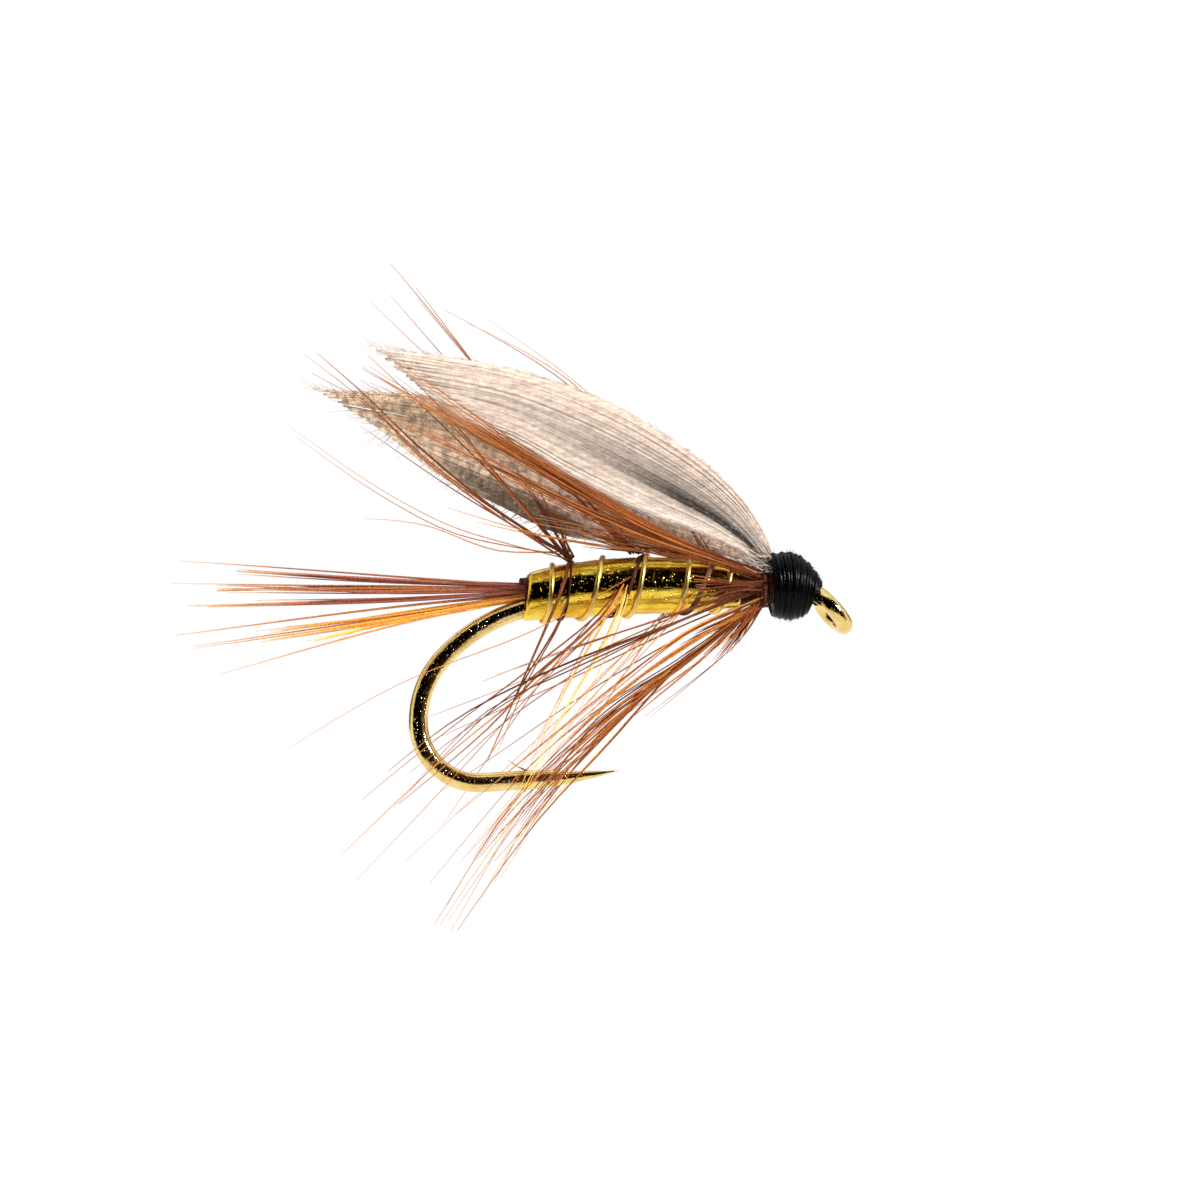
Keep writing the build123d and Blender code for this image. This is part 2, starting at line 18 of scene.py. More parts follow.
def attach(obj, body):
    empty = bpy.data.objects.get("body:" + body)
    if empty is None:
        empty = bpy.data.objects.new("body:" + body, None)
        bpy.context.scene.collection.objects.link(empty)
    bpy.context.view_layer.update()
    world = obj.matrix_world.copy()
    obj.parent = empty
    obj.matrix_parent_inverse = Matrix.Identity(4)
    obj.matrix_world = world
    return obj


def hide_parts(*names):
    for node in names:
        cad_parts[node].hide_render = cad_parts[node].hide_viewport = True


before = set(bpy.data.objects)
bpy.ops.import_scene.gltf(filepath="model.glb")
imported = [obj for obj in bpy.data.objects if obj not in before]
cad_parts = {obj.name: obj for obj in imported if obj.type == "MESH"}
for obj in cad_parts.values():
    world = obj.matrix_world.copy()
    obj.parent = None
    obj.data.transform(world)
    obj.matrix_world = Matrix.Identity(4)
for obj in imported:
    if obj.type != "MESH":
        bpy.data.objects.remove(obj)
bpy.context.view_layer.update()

# ---------------------------------------------------------------- sizes, millimetres, as in the CAD model
MM = 0.001
WIRE_RADIUS = 0.315
SHANK_Z = 0.58
SHANK_REAR_X = -8.88
BEND_RADII = (5.80, 3.10, 1.95)
BEND_TURNS = (45.0, 45.0, 90.0)
POINT_STRAIGHT_LENGTH = 1.50
POINT_TAPER_LENGTH = 3.1
HOOK_BARB_LENGTH = 0.87
HOOK_BARB_RISE = 0.40
EYE_CENTRE = (0.15, 0.0, -0.17)  # from the datum
EYE_RING_RADIUS = 0.659
EYE_WIRE_RADIUS = 0.27
EYE_ANGLE = 52.0

BODY_X = (-10.05, -6.80, -2.90)
BODY_RADII = (0.80, 0.945, 0.63)
BODY_AXIS_Z = (0.82, 1.01, 0.75)
BODY_REAR_TILT = 10.0
TINSEL_WIDTH = 0.62
TINSEL_STEP = 0.012  # from one turn's edge up to the next
DENT_DEPTH = 0.010
DENT_LENGTH = 0.28
DENT_WIDTH = 0.06  # as a share of a turn round the body

RIB_RADIUS = 0.080
RIB_PITCH = 1.47
RIB_FIRST_EXTRA = 0.26
RIB_FIRST_TOP_X = -9.09
RIB_START_PITCH = 0.70
RIB_TURNS = (-0.55, 3.9)
STEM_RADIUS = 0.045
STEM_PITCH = 2.45
STEM_FIRST_TOP_X = -8.43
STEM_TURNS = (-0.62, 2.35)
COLLAR_X = (-2.42, -1.98)
COLLAR_AXIS_Z = 0.70
COLLAR_RADIUS = 0.59
COLLAR_TURNS = 3.5

# Rings of the head from its rear to its front: x, z, radius, and degrees that the ring's top leans forward.
HEAD_RINGS = (
    (-1.79, 0.80, 0.95, 0.0),
    (-1.74, 0.79, 1.05, 0.0),
    (-1.45, 0.76, 1.11, 2.0),
    (-1.15, 0.74, 1.12, 5.0),
    (-0.86, 0.64, 1.02, 10.0),
    (-0.60, 0.51, 0.83, 15.0),
    (-0.42, 0.40, 0.61, 24.0),
    (-0.37, 0.39, 0.40, 38.0),
)
THREAD_RADIUS = 0.05
CORE_DEPTH = 0.055  # of the smooth core under the head's turns

# The camera looks at the middle of the picture from a little below and a little towards the tail.
VIEW_CENTRE = (-7.56, 0.0, 0.60)
VIEW_WIDTH = 39.8
VIEW_AZIMUTH = -8.0
VIEW_ELEVATION = -6.0
VIEW_ROLL = 3.83
VIEW_DISTANCE = 450.0
LIGHT_DISTANCE = 0.56


# ---------------------------------------------------------------- small helpers
def mix(low, high, share):
    return low + (high - low) * share


def clamp(value):
    return min(1.0, max(0.0, value))


def smooth_step(low, high, value):
    share = clamp((value - low) / (high - low))
    return share * share * (3 - 2 * share)


def bezier(points, count):
    """Points of the Bezier curve of any degree that a few control points pull on."""
    points = [np.array(point, float) for point in points]
    curve = []
    for step in range(count):
        share = step / (count - 1)
        row = points
        while len(row) > 1:
            row = [mix(a, b, share) for a, b in zip(row, row[1:])]
        curve.append(row[0])
    return np.array(curve)


def spline_at(points, share):
    """The point at a share of the way along a smooth curve through a list of points."""
    count = len(points) - 1
    place = min(int(share * count), count - 1)
    t = share * count - place
    a, b = np.array(points[max(place - 1, 0)]), np.array(points[place])
    c, d = np.array(points[place + 1]), np.array(points[min(place + 2, count)])
    return 0.5 * (2 * b + (c - a) * t + (2 * a - 5 * b + 4 * c - d) * t**2 + (3 * (b - c) + d - a) * t**3)


def body_share(x):
    """How far x is from the body's thickest place towards its rear (0) or its front (2), and which."""
    rear, thickest, front = BODY_X
    if x < thickest:
        return min(1.0, (thickest - x) / (thickest - rear)), 0
    return min(1.0, (x - thickest) / (front - thickest)), 2


def body_radius(x):
    share, end = body_share(x)
    return mix(BODY_RADII[1], BODY_RADII[end], share ** (2 if end == 0 else 3))


def body_axis(x):
    share, end = body_share(x)
    return mix(BODY_AXIS_Z[1], BODY_AXIS_Z[end], share**2)


def head_point(share, turn, lift=0.0):
    """A point on the head at a share of the way to its front, with the outward way there."""
    x, z, radius, lean = spline_at(HEAD_RINGS, share)
    lean, angle = math.radians(lean), 2 * math.pi * turn
    outward = np.array((math.sin(lean) * math.cos(angle), math.sin(angle), math.cos(lean) * math.cos(angle)))
    return np.array((x, 0.0, z)) + outward * (radius + lift), outward


def ring_point(x, axis_z, radius, turn):
    """A point round the X direction: whole turns are on top, and a quarter turn back is on the near side."""
    angle = 2 * math.pi * turn
    return np.array((x, radius * math.sin(angle), axis_z + radius * math.cos(angle)))


# ---------------------------------------------------------------- meshes
class Strands:
    """Gathers tubes along paths, then makes one mesh of them."""

    def __init__(self):
        self.vertices = []
        self.faces = []
        self.along = []
        self.tone = []

    def add(self, path, radii, tone=0.5, sides=6, flat=1.0, wide=None, along=None):
        """Adds a tube. flat is its thickness over its width, which lies along the direction wide."""
        path = np.asarray(path, float)
        count = len(path)
        ahead = np.gradient(path, axis=0)
        ahead /= np.linalg.norm(ahead, axis=1)[:, None] + 1e-12
        across = np.array(wide if wide is not None else (0.0, 0.0, 1.0), float)
        if abs(np.dot(across, ahead[0])) > 0.95:
            across = np.array((0.0, 1.0, 0.0))
        angles = np.arange(sides) * 2 * math.pi / sides
        first = len(self.vertices)
        for place in range(count):
            if wide is not None:
                across = np.array(wide, float)
            across = across - ahead[place] * np.dot(across, ahead[place])
            across /= np.linalg.norm(across) + 1e-12
            up = np.cross(ahead[place], across)
            radius = radii[place]
            for angle in angles:
                offset = across * (radius * math.cos(angle)) + up * (radius * flat * math.sin(angle))
                self.vertices.append(path[place] + offset)
            share = place / (count - 1) if along is None else along[place]
            self.along += [share] * sides
            self.tone += [tone] * sides
        for place in range(count - 1):
            start = first + place * sides
            for side in range(sides):
                beside = (side + 1) % sides
                self.faces.append((start + side, start + beside, start + sides + beside, start + sides + side))
        self.faces.append(tuple(reversed(range(first, first + sides))))
        self.faces.append(tuple(range(first + (count - 1) * sides, first + count * sides)))

    def build(self, name, material):
        return make_piece(name, self.vertices, self.faces, material, {"along": self.along, "tone": self.tone})


def make_piece(name, vertices, faces, material, values):
    mesh = bpy.data.meshes.new(name)
    mesh.from_pydata(((np.array(vertices) - EYE_CENTRE) * MM).tolist(), [], faces)
    for label, numbers in values.items():
        attribute = mesh.attributes.new(label, "FLOAT", "POINT")
        attribute.data.foreach_set("value", np.array(numbers, np.float32))
    mesh.polygons.foreach_set("use_smooth", [True] * len(mesh.polygons))
    mesh.materials.append(material)
    mesh.update()
    piece = bpy.data.objects.new(name, mesh)
    bpy.context.scene.collection.objects.link(piece)
    return piece


def tube_faces(rows, columns):
    """Faces of a closed form whose vertices go round row by row, with a flat cap at each end."""
    faces = []
    for row in range(rows - 1):
        for column in range(columns):
            beside = (column + 1) % columns
            start, end = row * columns, (row + 1) * columns
            faces.append((start + column, end + column, end + beside, start + beside))
    faces.append(tuple(range(columns)))
    faces.append(tuple(reversed(range((rows - 1) * columns, rows * columns))))
    return faces


# ---------------------------------------------------------------- materials
class Nodes:
    """Short calls for building one material's nodes round its Principled shader."""

    def __init__(self, name, color=(0.5, 0.5, 0.5), roughness=0.5, metallic=0.0, specular=0.5):
        self.material = bpy.data.materials.new(name)
        self.material.use_nodes = True
        self.tree = self.material.node_tree
        self.shader = self.tree.nodes["Principled BSDF"]
        self.set("Base Color", (*color, 1.0))
        self.set("Roughness", roughness)
        self.set("Metallic", metallic)
        self.set("Specular IOR Level", specular)
        self.place = self.add("ShaderNodeTexCoord").outputs["Object"]

    def set(self, socket, value):
        self.shader.inputs[socket].default_value = value

    def add(self, kind, **inputs):
        node = self.tree.nodes.new(kind)
        for name, value in inputs.items():
            node.inputs[name.replace("_", " ")].default_value = value
        return node

    def link(self, source, target):
        self.tree.links.new(source, target)

    def feed(self, source, socket):
        self.link(source, self.shader.inputs[socket])

    def value(self, label):
        node = self.add("ShaderNodeAttribute")
        node.attribute_name = label
        return node.outputs["Fac"]

    def noise(self, per_mm, detail=4.0, stretch=(1.0, 1.0, 1.0), roughness=0.5):
        """Noise with so many lumps to a millimetre, stretched along the axes."""
        mapping = self.add("ShaderNodeMapping")
        mapping.inputs["Scale"].default_value = tuple(per_mm / MM * s for s in stretch)
        self.link(self.place, mapping.inputs["Vector"])
        node = self.add("ShaderNodeTexNoise", Scale=1.0, Detail=detail, Roughness=roughness)
        self.link(mapping.outputs["Vector"], node.inputs["Vector"])
        return node.outputs["Fac"]

    def streaks(self, source, scale):
        """Noise that runs along a value alone, so that it changes from strand to strand."""
        node = self.add("ShaderNodeTexNoise", Scale=1.0, Detail=2.0)
        node.noise_dimensions = "1D"
        self.link(self.math("MULTIPLY", source, scale), node.inputs["W"])
        return node.outputs["Fac"]

    def ramp(self, source, stops):
        """Colours at places along a value: each stop is (place, red, green, blue)."""
        node = self.add("ShaderNodeValToRGB")
        elements = node.color_ramp.elements
        while len(elements) < len(stops):
            elements.new(0.5)
        for element, (place, *color) in zip(elements, stops):
            element.position = place
            element.color = (*color, 1.0)
        self.link(source, node.inputs["Fac"])
        return node.outputs["Color"]

    def math(self, operation, first, second):
        node = self.add("ShaderNodeMath")
        node.operation = operation
        for socket, value in zip(node.inputs, (first, second)):
            if isinstance(value, (int, float)):
                socket.default_value = value
            else:
                self.link(value, socket)
        return node.outputs["Value"]

    def span(self, source, low, high):
        """A value's place between low and high, turned into 0 to 1 or another pair."""
        node = self.add("ShaderNodeMapRange", To_Min=low, To_Max=high)
        self.link(source, node.inputs["Value"])
        return node.outputs["Result"]

    def blend(self, first, second, factor, kind="MIX"):
        node = self.add("ShaderNodeMix")
        node.data_type = "RGBA"
        node.blend_type = kind
        for socket, value in ((node.inputs[6], first), (node.inputs[7], second), (node.inputs[0], factor)):
            if isinstance(value, (int, float)):
                socket.default_value = value
            elif isinstance(value, tuple):
                socket.default_value = (*value, 1.0)
            else:
                self.link(value, socket)
        return node.outputs[2]

    def specks(self, scale, height):
        """Sparse small pimples, as a height for a bump."""
        spots = self.ramp(self.noise(scale, 2), grey_stops(((0.64, 0.0), (0.70, 1.0))))
        return self.math("MULTIPLY", spots, height)

    def bump(self, height, strength, distance_mm):
        node = self.add("ShaderNodeBump", Strength=strength, Distance=distance_mm * MM)
        self.link(height, node.inputs["Height"])
        self.feed(node.outputs["Normal"], "Normal")


def hook_material():
    """Bronzed gold plating on drawn wire: fine scratches along it and small dull patches."""
    n = Nodes("hook_bronze_gold", roughness=0.12, metallic=1.0)
    n.feed(n.ramp(n.noise(1.6, 3), ((0.3, 0.84, 0.57, 0.17), (0.7, 1.0, 0.80, 0.34))), "Base Color")
    n.feed(n.span(n.noise(5, 5), 0.04, 0.20), "Roughness")
    scratches = n.math("ADD", n.noise(2.2, 2), n.math("MULTIPLY", n.noise(16, 4), 0.16))
    n.bump(n.math("ADD", scratches, n.specks(13.0, 0.35)), 0.6, 0.045)
    return n.material


def tinsel_material():
    """Flat metal tinsel: a mirror with crinkles along it, lint and rubbed places."""
    n = Nodes("tinsel_gold", roughness=0.08, metallic=1.0)
    n.feed(n.ramp(n.noise(0.9, 3), ((0.35, 0.86, 0.46, 0.018), (0.65, 1.0, 0.74, 0.095))), "Base Color")
    n.feed(n.span(n.noise(9, 6, roughness=0.7), 0.02, 0.20), "Roughness")
    crinkle = n.math("ADD", n.noise(1.5, 2, (0.45, 1.0, 1.3)), n.math("MULTIPLY", n.noise(20, 5), 0.11))
    n.bump(n.math("ADD", crinkle, n.specks(11.0, 0.22)), 0.75, 0.07)
    return n.material


def rib_material():
    n = Nodes("rib_gold_wire", roughness=0.3, metallic=1.0)
    n.feed(n.ramp(n.noise(3, 3), ((0.3, 0.92, 0.56, 0.10), (0.7, 1.0, 0.78, 0.27))), "Base Color")
    n.feed(n.span(n.noise(12, 4), 0.22, 0.46), "Roughness")
    n.bump(n.noise(25, 3), 0.3, 0.004)
    return n.material


def barb_material(name, dark, middle, light, amber, tip):
    """Barbs of a feather: each has its own tone, streaked and speckled, darker towards the root with painted glow
    towards the tip, and pales just at its tip.
    """
    n = Nodes(name, roughness=0.45, specular=0.06)
    color = n.ramp(n.value("tone"), ((0.0, *dark), (0.40, *middle), (0.75, *light), (1.0, *amber)))
    # Darker towards the root, and brighter than the barb's own tone towards the tip: the brightening is painted glow of
    # light shining through the thin barb.
    dark_root_painted_glow = n.ramp(n.value("along"), ((0.0, 0.42, 0.36, 0.34), (0.24, 0.96, 0.94, 0.92), (0.8, 1.18, 1.18, 1.18)))
    color = n.blend(color, dark_root_painted_glow, 1.0, "MULTIPLY")
    speckle = n.ramp(n.noise(16, 3), ((0.3, 0.55, 0.50, 0.48), (0.7, 1.30, 1.32, 1.34)))
    color = n.blend(color, speckle, 0.8, "MULTIPLY")
    fade = n.ramp(n.value("along"), ((0.72, 0.0, 0.0, 0.0), (1.0, 0.75, 0.75, 0.75)))
    n.feed(n.blend(color, tip, fade), "Base Color")
    n.feed(n.span(n.noise(9, 2), 0.25, 0.55), "Roughness")
    n.bump(n.noise(30, 2), 0.4, 0.006)
    return n.material


def thread_material(name, dark, light, roughness=0.4, specular=0.35):
    """Waxed thread: fine twisted filaments along it, shinier where the cement lies."""
    n = Nodes(name, roughness=roughness, specular=specular)
    n.feed(n.ramp(n.noise(14, 4, (1.0, 0.5, 0.5)), ((0.35, *dark), (0.75, *light))), "Base Color")
    n.feed(n.span(n.noise(5, 4), roughness - 0.22, roughness + 0.25), "Roughness")
    n.bump(n.noise(34, 3, (1.0, 0.35, 0.35)), 0.6, 0.012)
    return n.material


def wing_material(name, across, dark, dark_across, dark_along, tip_color, mottle, blotches, flecks):
    """A quill slip: bands of colour across its barbs, a dark mark, streaks, mottling and pale flecks.

    across holds the colours from its lower edge to its upper one; on the far slip one of them is painted
    shadow under the near slip's lower edge. dark_across and dark_along are ramps of how strong the dark
    mark is across the slip and along it. mottle is how light the fine mottling stays, blotches how dark
    the blotches get, and flecks how strong the pale flecks are.
    """
    n = Nodes(name, roughness=0.6, specular=0.15)
    wander = n.math("MULTIPLY", n.math("SUBTRACT", n.noise(0.35, 2), 0.5), 0.10)
    place = n.math("ADD", n.value("tone"), wander)
    color = n.ramp(place, across)
    mark_across = n.ramp(place, grey_stops(dark_across))
    mark_along = n.ramp(n.value("along"), grey_stops(dark_along))
    mark = n.math("MULTIPLY", mark_across, mark_along)
    color = n.blend(color, dark, mark)
    fade = n.ramp(n.value("along"), ((0.55, 0.0, 0.0, 0.0), (1.0, 0.8, 0.8, 0.8)))
    color = n.blend(color, tip_color, fade)
    streak = n.ramp(n.streaks(n.value("tone"), 60.0), grey_stops(((0.30, 0.66), (0.65, 1.12))))
    color = n.blend(color, streak, 0.75, "MULTIPLY")
    grain = n.ramp(n.noise(6.0, 4, (0.35, 1.0, 1.6)), grey_stops(((0.3, mottle), (0.7, 1.08))))
    color = n.blend(color, grain, 0.8, "MULTIPLY")
    blotch = n.ramp(n.noise(4.2, 5, (1.4, 1.0, 1.0), 0.7), grey_stops(((0.42, 1.0 - blotches), (0.56, 1.05))))
    color = n.blend(color, blotch, 1.0, "MULTIPLY")
    fleck = n.ramp(n.noise(11.0, 5, (0.6, 1.0, 1.0), 0.7), grey_stops(((0.56, 0.0), (0.70, flecks))))
    n.feed(n.blend(color, (0.92, 0.88, 0.84), fleck), "Base Color")
    n.feed(n.span(n.noise(5, 3), 0.5, 0.8), "Roughness")
    n.set("Sheen Weight", 0.15)
    n.bump(n.noise(26, 3), 0.5, 0.01)
    return n.material


def grey_stops(stops):
    return [(place, value, value, value) for place, value in stops]


def floor_material():
    n = Nodes("studio_floor", color=(0.9, 0.9, 0.9), roughness=0.7)
    n.feed(n.ramp(n.noise(0.002, 2), ((0.3, 0.90, 0.90, 0.90), (0.7, 0.93, 0.93, 0.92))), "Base Color")
    return n.material


# ---------------------------------------------------------------- studio
def direction(azimuth, elevation):
    """From the object towards a camera there: azimuth 0 is at -Y, and it grows towards +X."""
    azimuth, elevation = math.radians(azimuth), math.radians(elevation)
    flat = math.cos(elevation)
    return Vector((math.sin(azimuth) * flat, -math.cos(azimuth) * flat, math.sin(elevation)))


def make_camera():
    data = bpy.data.cameras.new("camera")
    data.sensor_width = 36.0
    data.lens = data.sensor_width * VIEW_DISTANCE / VIEW_WIDTH
    data.clip_start = 0.01
    data.clip_end = 20.0
    camera = bpy.data.objects.new("camera", data)
    bpy.context.scene.collection.objects.link(camera)
    bpy.context.scene.camera = camera
    towards = direction(VIEW_AZIMUTH, VIEW_ELEVATION)
    roll = math.radians(VIEW_ROLL)
    up = Vector((math.sin(roll), 0.0, math.cos(roll)))
    right = (-towards).cross(up).normalized()
    up = right.cross(-towards).normalized()
    turn = Matrix((right, up, towards)).transposed().to_4x4()
    place = (Vector(VIEW_CENTRE) - Vector(EYE_CENTRE) + towards * VIEW_DISTANCE) * MM
    camera.matrix_world = Matrix.Translation(place) @ turn


def make_world():
    """White all round, with a dark zone in front and a smaller one behind for the metal to reflect."""
    world = bpy.data.worlds.new("studio")
    bpy.context.scene.world = world
    world.use_nodes = True
    tree = world.node_tree
    tree.nodes.clear()

    def add(kind, **inputs):
        node = tree.nodes.new(kind)
        for name, value in inputs.items():
            node.inputs[name.replace("_", " ")].default_value = value
        return node

    def edge(source, low, high):
        node = add("ShaderNodeMapRange", From_Min=low, From_Max=high)
        node.interpolation_type = "SMOOTHSTEP"
        tree.links.new(source, node.inputs["Value"])
        return node.outputs["Result"]

    def times(first, second):
        node = add("ShaderNodeMath")
        node.operation = "MULTIPLY"
        tree.links.new(first, node.inputs[0])
        tree.links.new(second, node.inputs[1])
        return node.outputs["Value"]

    def zone(rise, fall, side, strength):
        """How dark the room is between two heights, on one side of the object."""
        within = times(edge(axes.outputs["Z"], *rise), edge(axes.outputs["Z"], *fall))
        amount = add("ShaderNodeMapRange", To_Max=strength)
        tree.links.new(times(within, edge(axes.outputs["Y"], *side)), amount.inputs["Value"])
        return amount.outputs["Result"]

    looking = add("ShaderNodeTexCoord").outputs["Generated"]
    axes = add("ShaderNodeSeparateXYZ")
    tree.links.new(looking, axes.inputs["Vector"])
    in_front = zone((-0.62, -0.36), (0.93, 0.84), (-0.08, -0.30), 1.0)
    behind = zone((0.00, 0.12), (0.66, 0.48), (0.30, 0.60), 0.80)
    light = add("ShaderNodeMath")
    light.operation = "SUBTRACT"
    light.inputs[0].default_value = 1.0
    tree.links.new(in_front, light.inputs[1])
    strength = add("ShaderNodeMath")
    strength.operation = "SUBTRACT"
    tree.links.new(light.outputs["Value"], strength.inputs[0])
    tree.links.new(behind, strength.inputs[1])
    shone = add("ShaderNodeBackground", Color=(1.0, 0.985, 0.96, 1.0))
    tree.links.new(strength.outputs["Value"], shone.inputs["Strength"])
    seen = add("ShaderNodeBackground", Color=(1.0, 1.0, 1.0, 1.0), Strength=1.0)
    choice = add("ShaderNodeMixShader")
    tree.links.new(add("ShaderNodeLightPath").outputs["Is Camera Ray"], choice.inputs["Fac"])
    tree.links.new(shone.outputs["Background"], choice.inputs[1])
    tree.links.new(seen.outputs["Background"], choice.inputs[2])
    tree.links.new(choice.outputs["Shader"], add("ShaderNodeOutputWorld").inputs["Surface"])


def make_light(name, azimuth, elevation, size, power, in_mirrors):
    """A soft round light. One that isn't in mirrors lights the fly but leaves no spot on its metal."""
    data = bpy.data.lights.new(name, "AREA")
    data.shape = "DISK"
    data.size = size
    data.energy = power
    light = bpy.data.objects.new(name, data)
    bpy.context.scene.collection.objects.link(light)
    light.visible_glossy = in_mirrors
    towards = direction(azimuth, elevation)
    light.location = Vector(VIEW_CENTRE) * MM + towards * LIGHT_DISTANCE
    light.rotation_euler = towards.to_track_quat("Z", "Y").to_euler()


def make_studio():
    make_camera()
    make_world()
    make_light("key", 35.0, 48.0, 0.10, 2.6, False)
    make_light("fill", -38.0, 6.0, 0.12, 3.0, False)
    make_light("glint", 54.0, 20.0, 0.10, 4.6, True)
    half, depth = 3000.0, -80.0
    corners = [(-half, -half, depth), (half, -half, depth), (half, half, depth), (-half, half, depth)]
    floor = make_piece("floor", corners, [(0, 1, 2, 3)], floor_material(), {})
    floor.visible_glossy = False
    bpy.context.scene.view_settings.view_transform = "Standard"


# ---------------------------------------------------------------- hook
def arc_points(x, z, heading, radius, turn, steps):
    """Points of an arc in the XZ plane that turns left from a heading, with its end and new heading."""
    centre_x = x + radius * math.cos(math.radians(heading + 90))
    centre_z = z + radius * math.sin(math.radians(heading + 90))
    points = []
    for step in range(1, steps + 1):
        angle = math.radians(heading - 90 + turn * step / steps)
        points.append((centre_x + radius * math.cos(angle), 0.0, centre_z + radius * math.sin(angle)))
    return points, points[-1][0], points[-1][2], heading + turn


def eye_point(angle, radius):
    """A point in the plane of the eye's ring: 90 degrees is up the neck, and 0 is at the far side."""
    lean, angle = math.radians(EYE_ANGLE), math.radians(angle)
    up = radius * math.sin(angle)
    return np.array(EYE_CENTRE) + (-math.cos(lean) * up, radius * math.cos(angle), math.sin(lean) * up)


def hook_path():
    """The wire's centreline and radius from the end that closes the eye to the point."""
    points, radii = [], []
    for step in range(45):
        points.append(eye_point(56 - 275 * step / 44, EYE_RING_RADIUS))
        radii.append(EYE_WIRE_RADIUS * mix(0.80, 1.0, smooth_step(0, 6, step)))
    neck = bezier((points[-1], eye_point(112, 0.80), eye_point(92, 0.74), eye_point(90, 0.82)), 9)[1:]
    start_x = -0.98
    turn = bezier((neck[-1], (-0.46, 0.0, SHANK_Z), (start_x, 0.0, SHANK_Z)), 8)[1:]
    points += [*neck, *turn]
    radii += [mix(EYE_WIRE_RADIUS, WIRE_RADIUS, step / 14) for step in range(15)]
    x, z, heading = SHANK_REAR_X, SHANK_Z, 180.0
    shank = [(mix(start_x, x, step / 40), 0.0, z) for step in range(1, 41)]
    bend = []
    for radius, turned in zip(BEND_RADII, BEND_TURNS):
        arc, x, z, heading = arc_points(x, z, heading, radius, turned, round(turned * 0.7))
        bend += arc
    for step in range(1, 9):
        bend.append((x + POINT_STRAIGHT_LENGTH * step / 8, 0.0, z))
    taper_x = x + POINT_STRAIGHT_LENGTH
    points += [*shank, *bend]
    radii += [WIRE_RADIUS] * (len(shank) + len(bend))
    for step in range(1, 25):
        share = step / 24
        radius = WIRE_RADIUS * (1 - share**1.35) + 0.010
        points.append((taper_x + POINT_TAPER_LENGTH * share, 0.0, z + 0.5 * (WIRE_RADIUS - radius) * share))
        radii.append(radius)
    return points, radii, taper_x, z


def make_hook():
    """One length of wire, closed into the eye at one end and ground to a point at the other."""
    points, radii, taper_x, z = hook_path()
    hook = Strands()
    hook.add(points, radii, sides=40)
    top = z + WIRE_RADIUS
    front = taper_x + 0.30
    spine = bezier(
        ((front, 0, top - 0.09), (front - 0.35, 0, top - 0.01), (front - HOOK_BARB_LENGTH, 0, top + HOOK_BARB_RISE)),
        12,
    )
    hook.add(spine, [mix(0.11, 0.008, (step / 11) ** 0.9) for step in range(12)], sides=12, flat=0.55, wide=(0, 1, 0))
    notch = bezier(((front - 0.30, 0, top - 0.03), (front - 0.62, 0, top - 0.02), (front - 0.98, 0, top - 0.07)), 8)
    hook.add(notch, [0.02, 0.06, 0.085, 0.09, 0.085, 0.07, 0.05, 0.02], sides=10, flat=0.35, wide=(0, 1, 0))
    piece = hook.build("hook_wire", hook_material())
    finish_piece(piece, "hook_wire", "hook")


def finish_piece(piece, slot, *nodes):
    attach(piece, "root")
    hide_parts(*nodes)


# ---------------------------------------------------------------- body
def make_tinsel():
    """Flat tinsel wound edge over edge: a shallow step at each turn, dents and a turned-in rear end."""
    draw = random.Random(11)
    dents = [(draw.uniform(-9.9, -3.1), draw.uniform(0, 1), draw.uniform(-1, 1)) for _ in range(46)]
    rear, thickest, front = BODY_X
    rows, columns = 260, 128
    vertices = []
    for row in range(rows):
        share = row / (rows - 1)
        x = mix(rear, front, share)
        lean = math.tan(math.radians(BODY_REAR_TILT)) * smooth_step(-8.9, rear, x)
        closing = 0.06 * (1 - smooth_step(0.0, 0.012, share)) + 0.05 * smooth_step(0.985, 1.0, share)
        for column in range(columns):
            turn = column / columns
            phase = ((x - rear) / TINSEL_WIDTH - turn) % 1.0
            step = TINSEL_STEP * (phase - 0.5) + 0.010 * smooth_step(0.94, 1.0, phase) * (phase - 1)
            radius = body_radius(x) + step - closing
            for dent_x, dent_turn, depth in dents:
                turned = (turn - dent_turn + 0.5) % 1 - 0.5
                near = ((x - dent_x) / DENT_LENGTH) ** 2 + (turned / DENT_WIDTH) ** 2
                if near < 6:
                    radius += DENT_DEPTH * depth * math.exp(-near)
            point = ring_point(x, body_axis(x), radius, turn)
            point[0] += lean * (point[2] - body_axis(x))
            vertices.append(point)
    faces = tube_faces(rows, columns)
    piece = make_piece("tinsel_body_wrap", vertices, faces, tinsel_material(), {})
    finish_piece(piece, "tinsel", "tinsel_body")


def rib_x(turn):
    if turn < 0:
        return RIB_FIRST_TOP_X + RIB_START_PITCH * turn
    return RIB_FIRST_TOP_X + RIB_PITCH * turn + RIB_FIRST_EXTRA * min(turn, 1.0)


def rib_point(turn, lift=0.0):
    x = rib_x(turn)
    return ring_point(x, body_axis(x), body_radius(x) + RIB_RADIUS * 0.8 + lift, turn)


def stem_x(turn):
    return STEM_FIRST_TOP_X + STEM_PITCH * turn * (1.0 if turn > 0 else 0.4)


def stem_point(turn):
    x = stem_x(turn)
    return ring_point(x, body_axis(x), body_radius(x) + STEM_RADIUS, turn)


def make_rib():
    draw = random.Random(3)
    gap = STEM_FIRST_TOP_X - STEM_PITCH - RIB_FIRST_TOP_X - RIB_FIRST_EXTRA
    crossing = gap / (RIB_PITCH - STEM_PITCH)
    turns = np.linspace(*RIB_TURNS, 4 * 64)
    path = []
    for turn in turns:
        lift = 2.0 * STEM_RADIUS * math.exp(-(((turn - crossing) / 0.06) ** 2))
        point = rib_point(turn, lift)
        point[0] += 0.035 * math.sin(3.1 * turn) + 0.01 * draw.uniform(-1, 1)
        path.append(point)
    rib = Strands()
    rib.add(path, [RIB_RADIUS] * len(path), sides=16)
    finish_piece(rib.build("rib_wire_coil", rib_material()), "rib", "rib_wire")


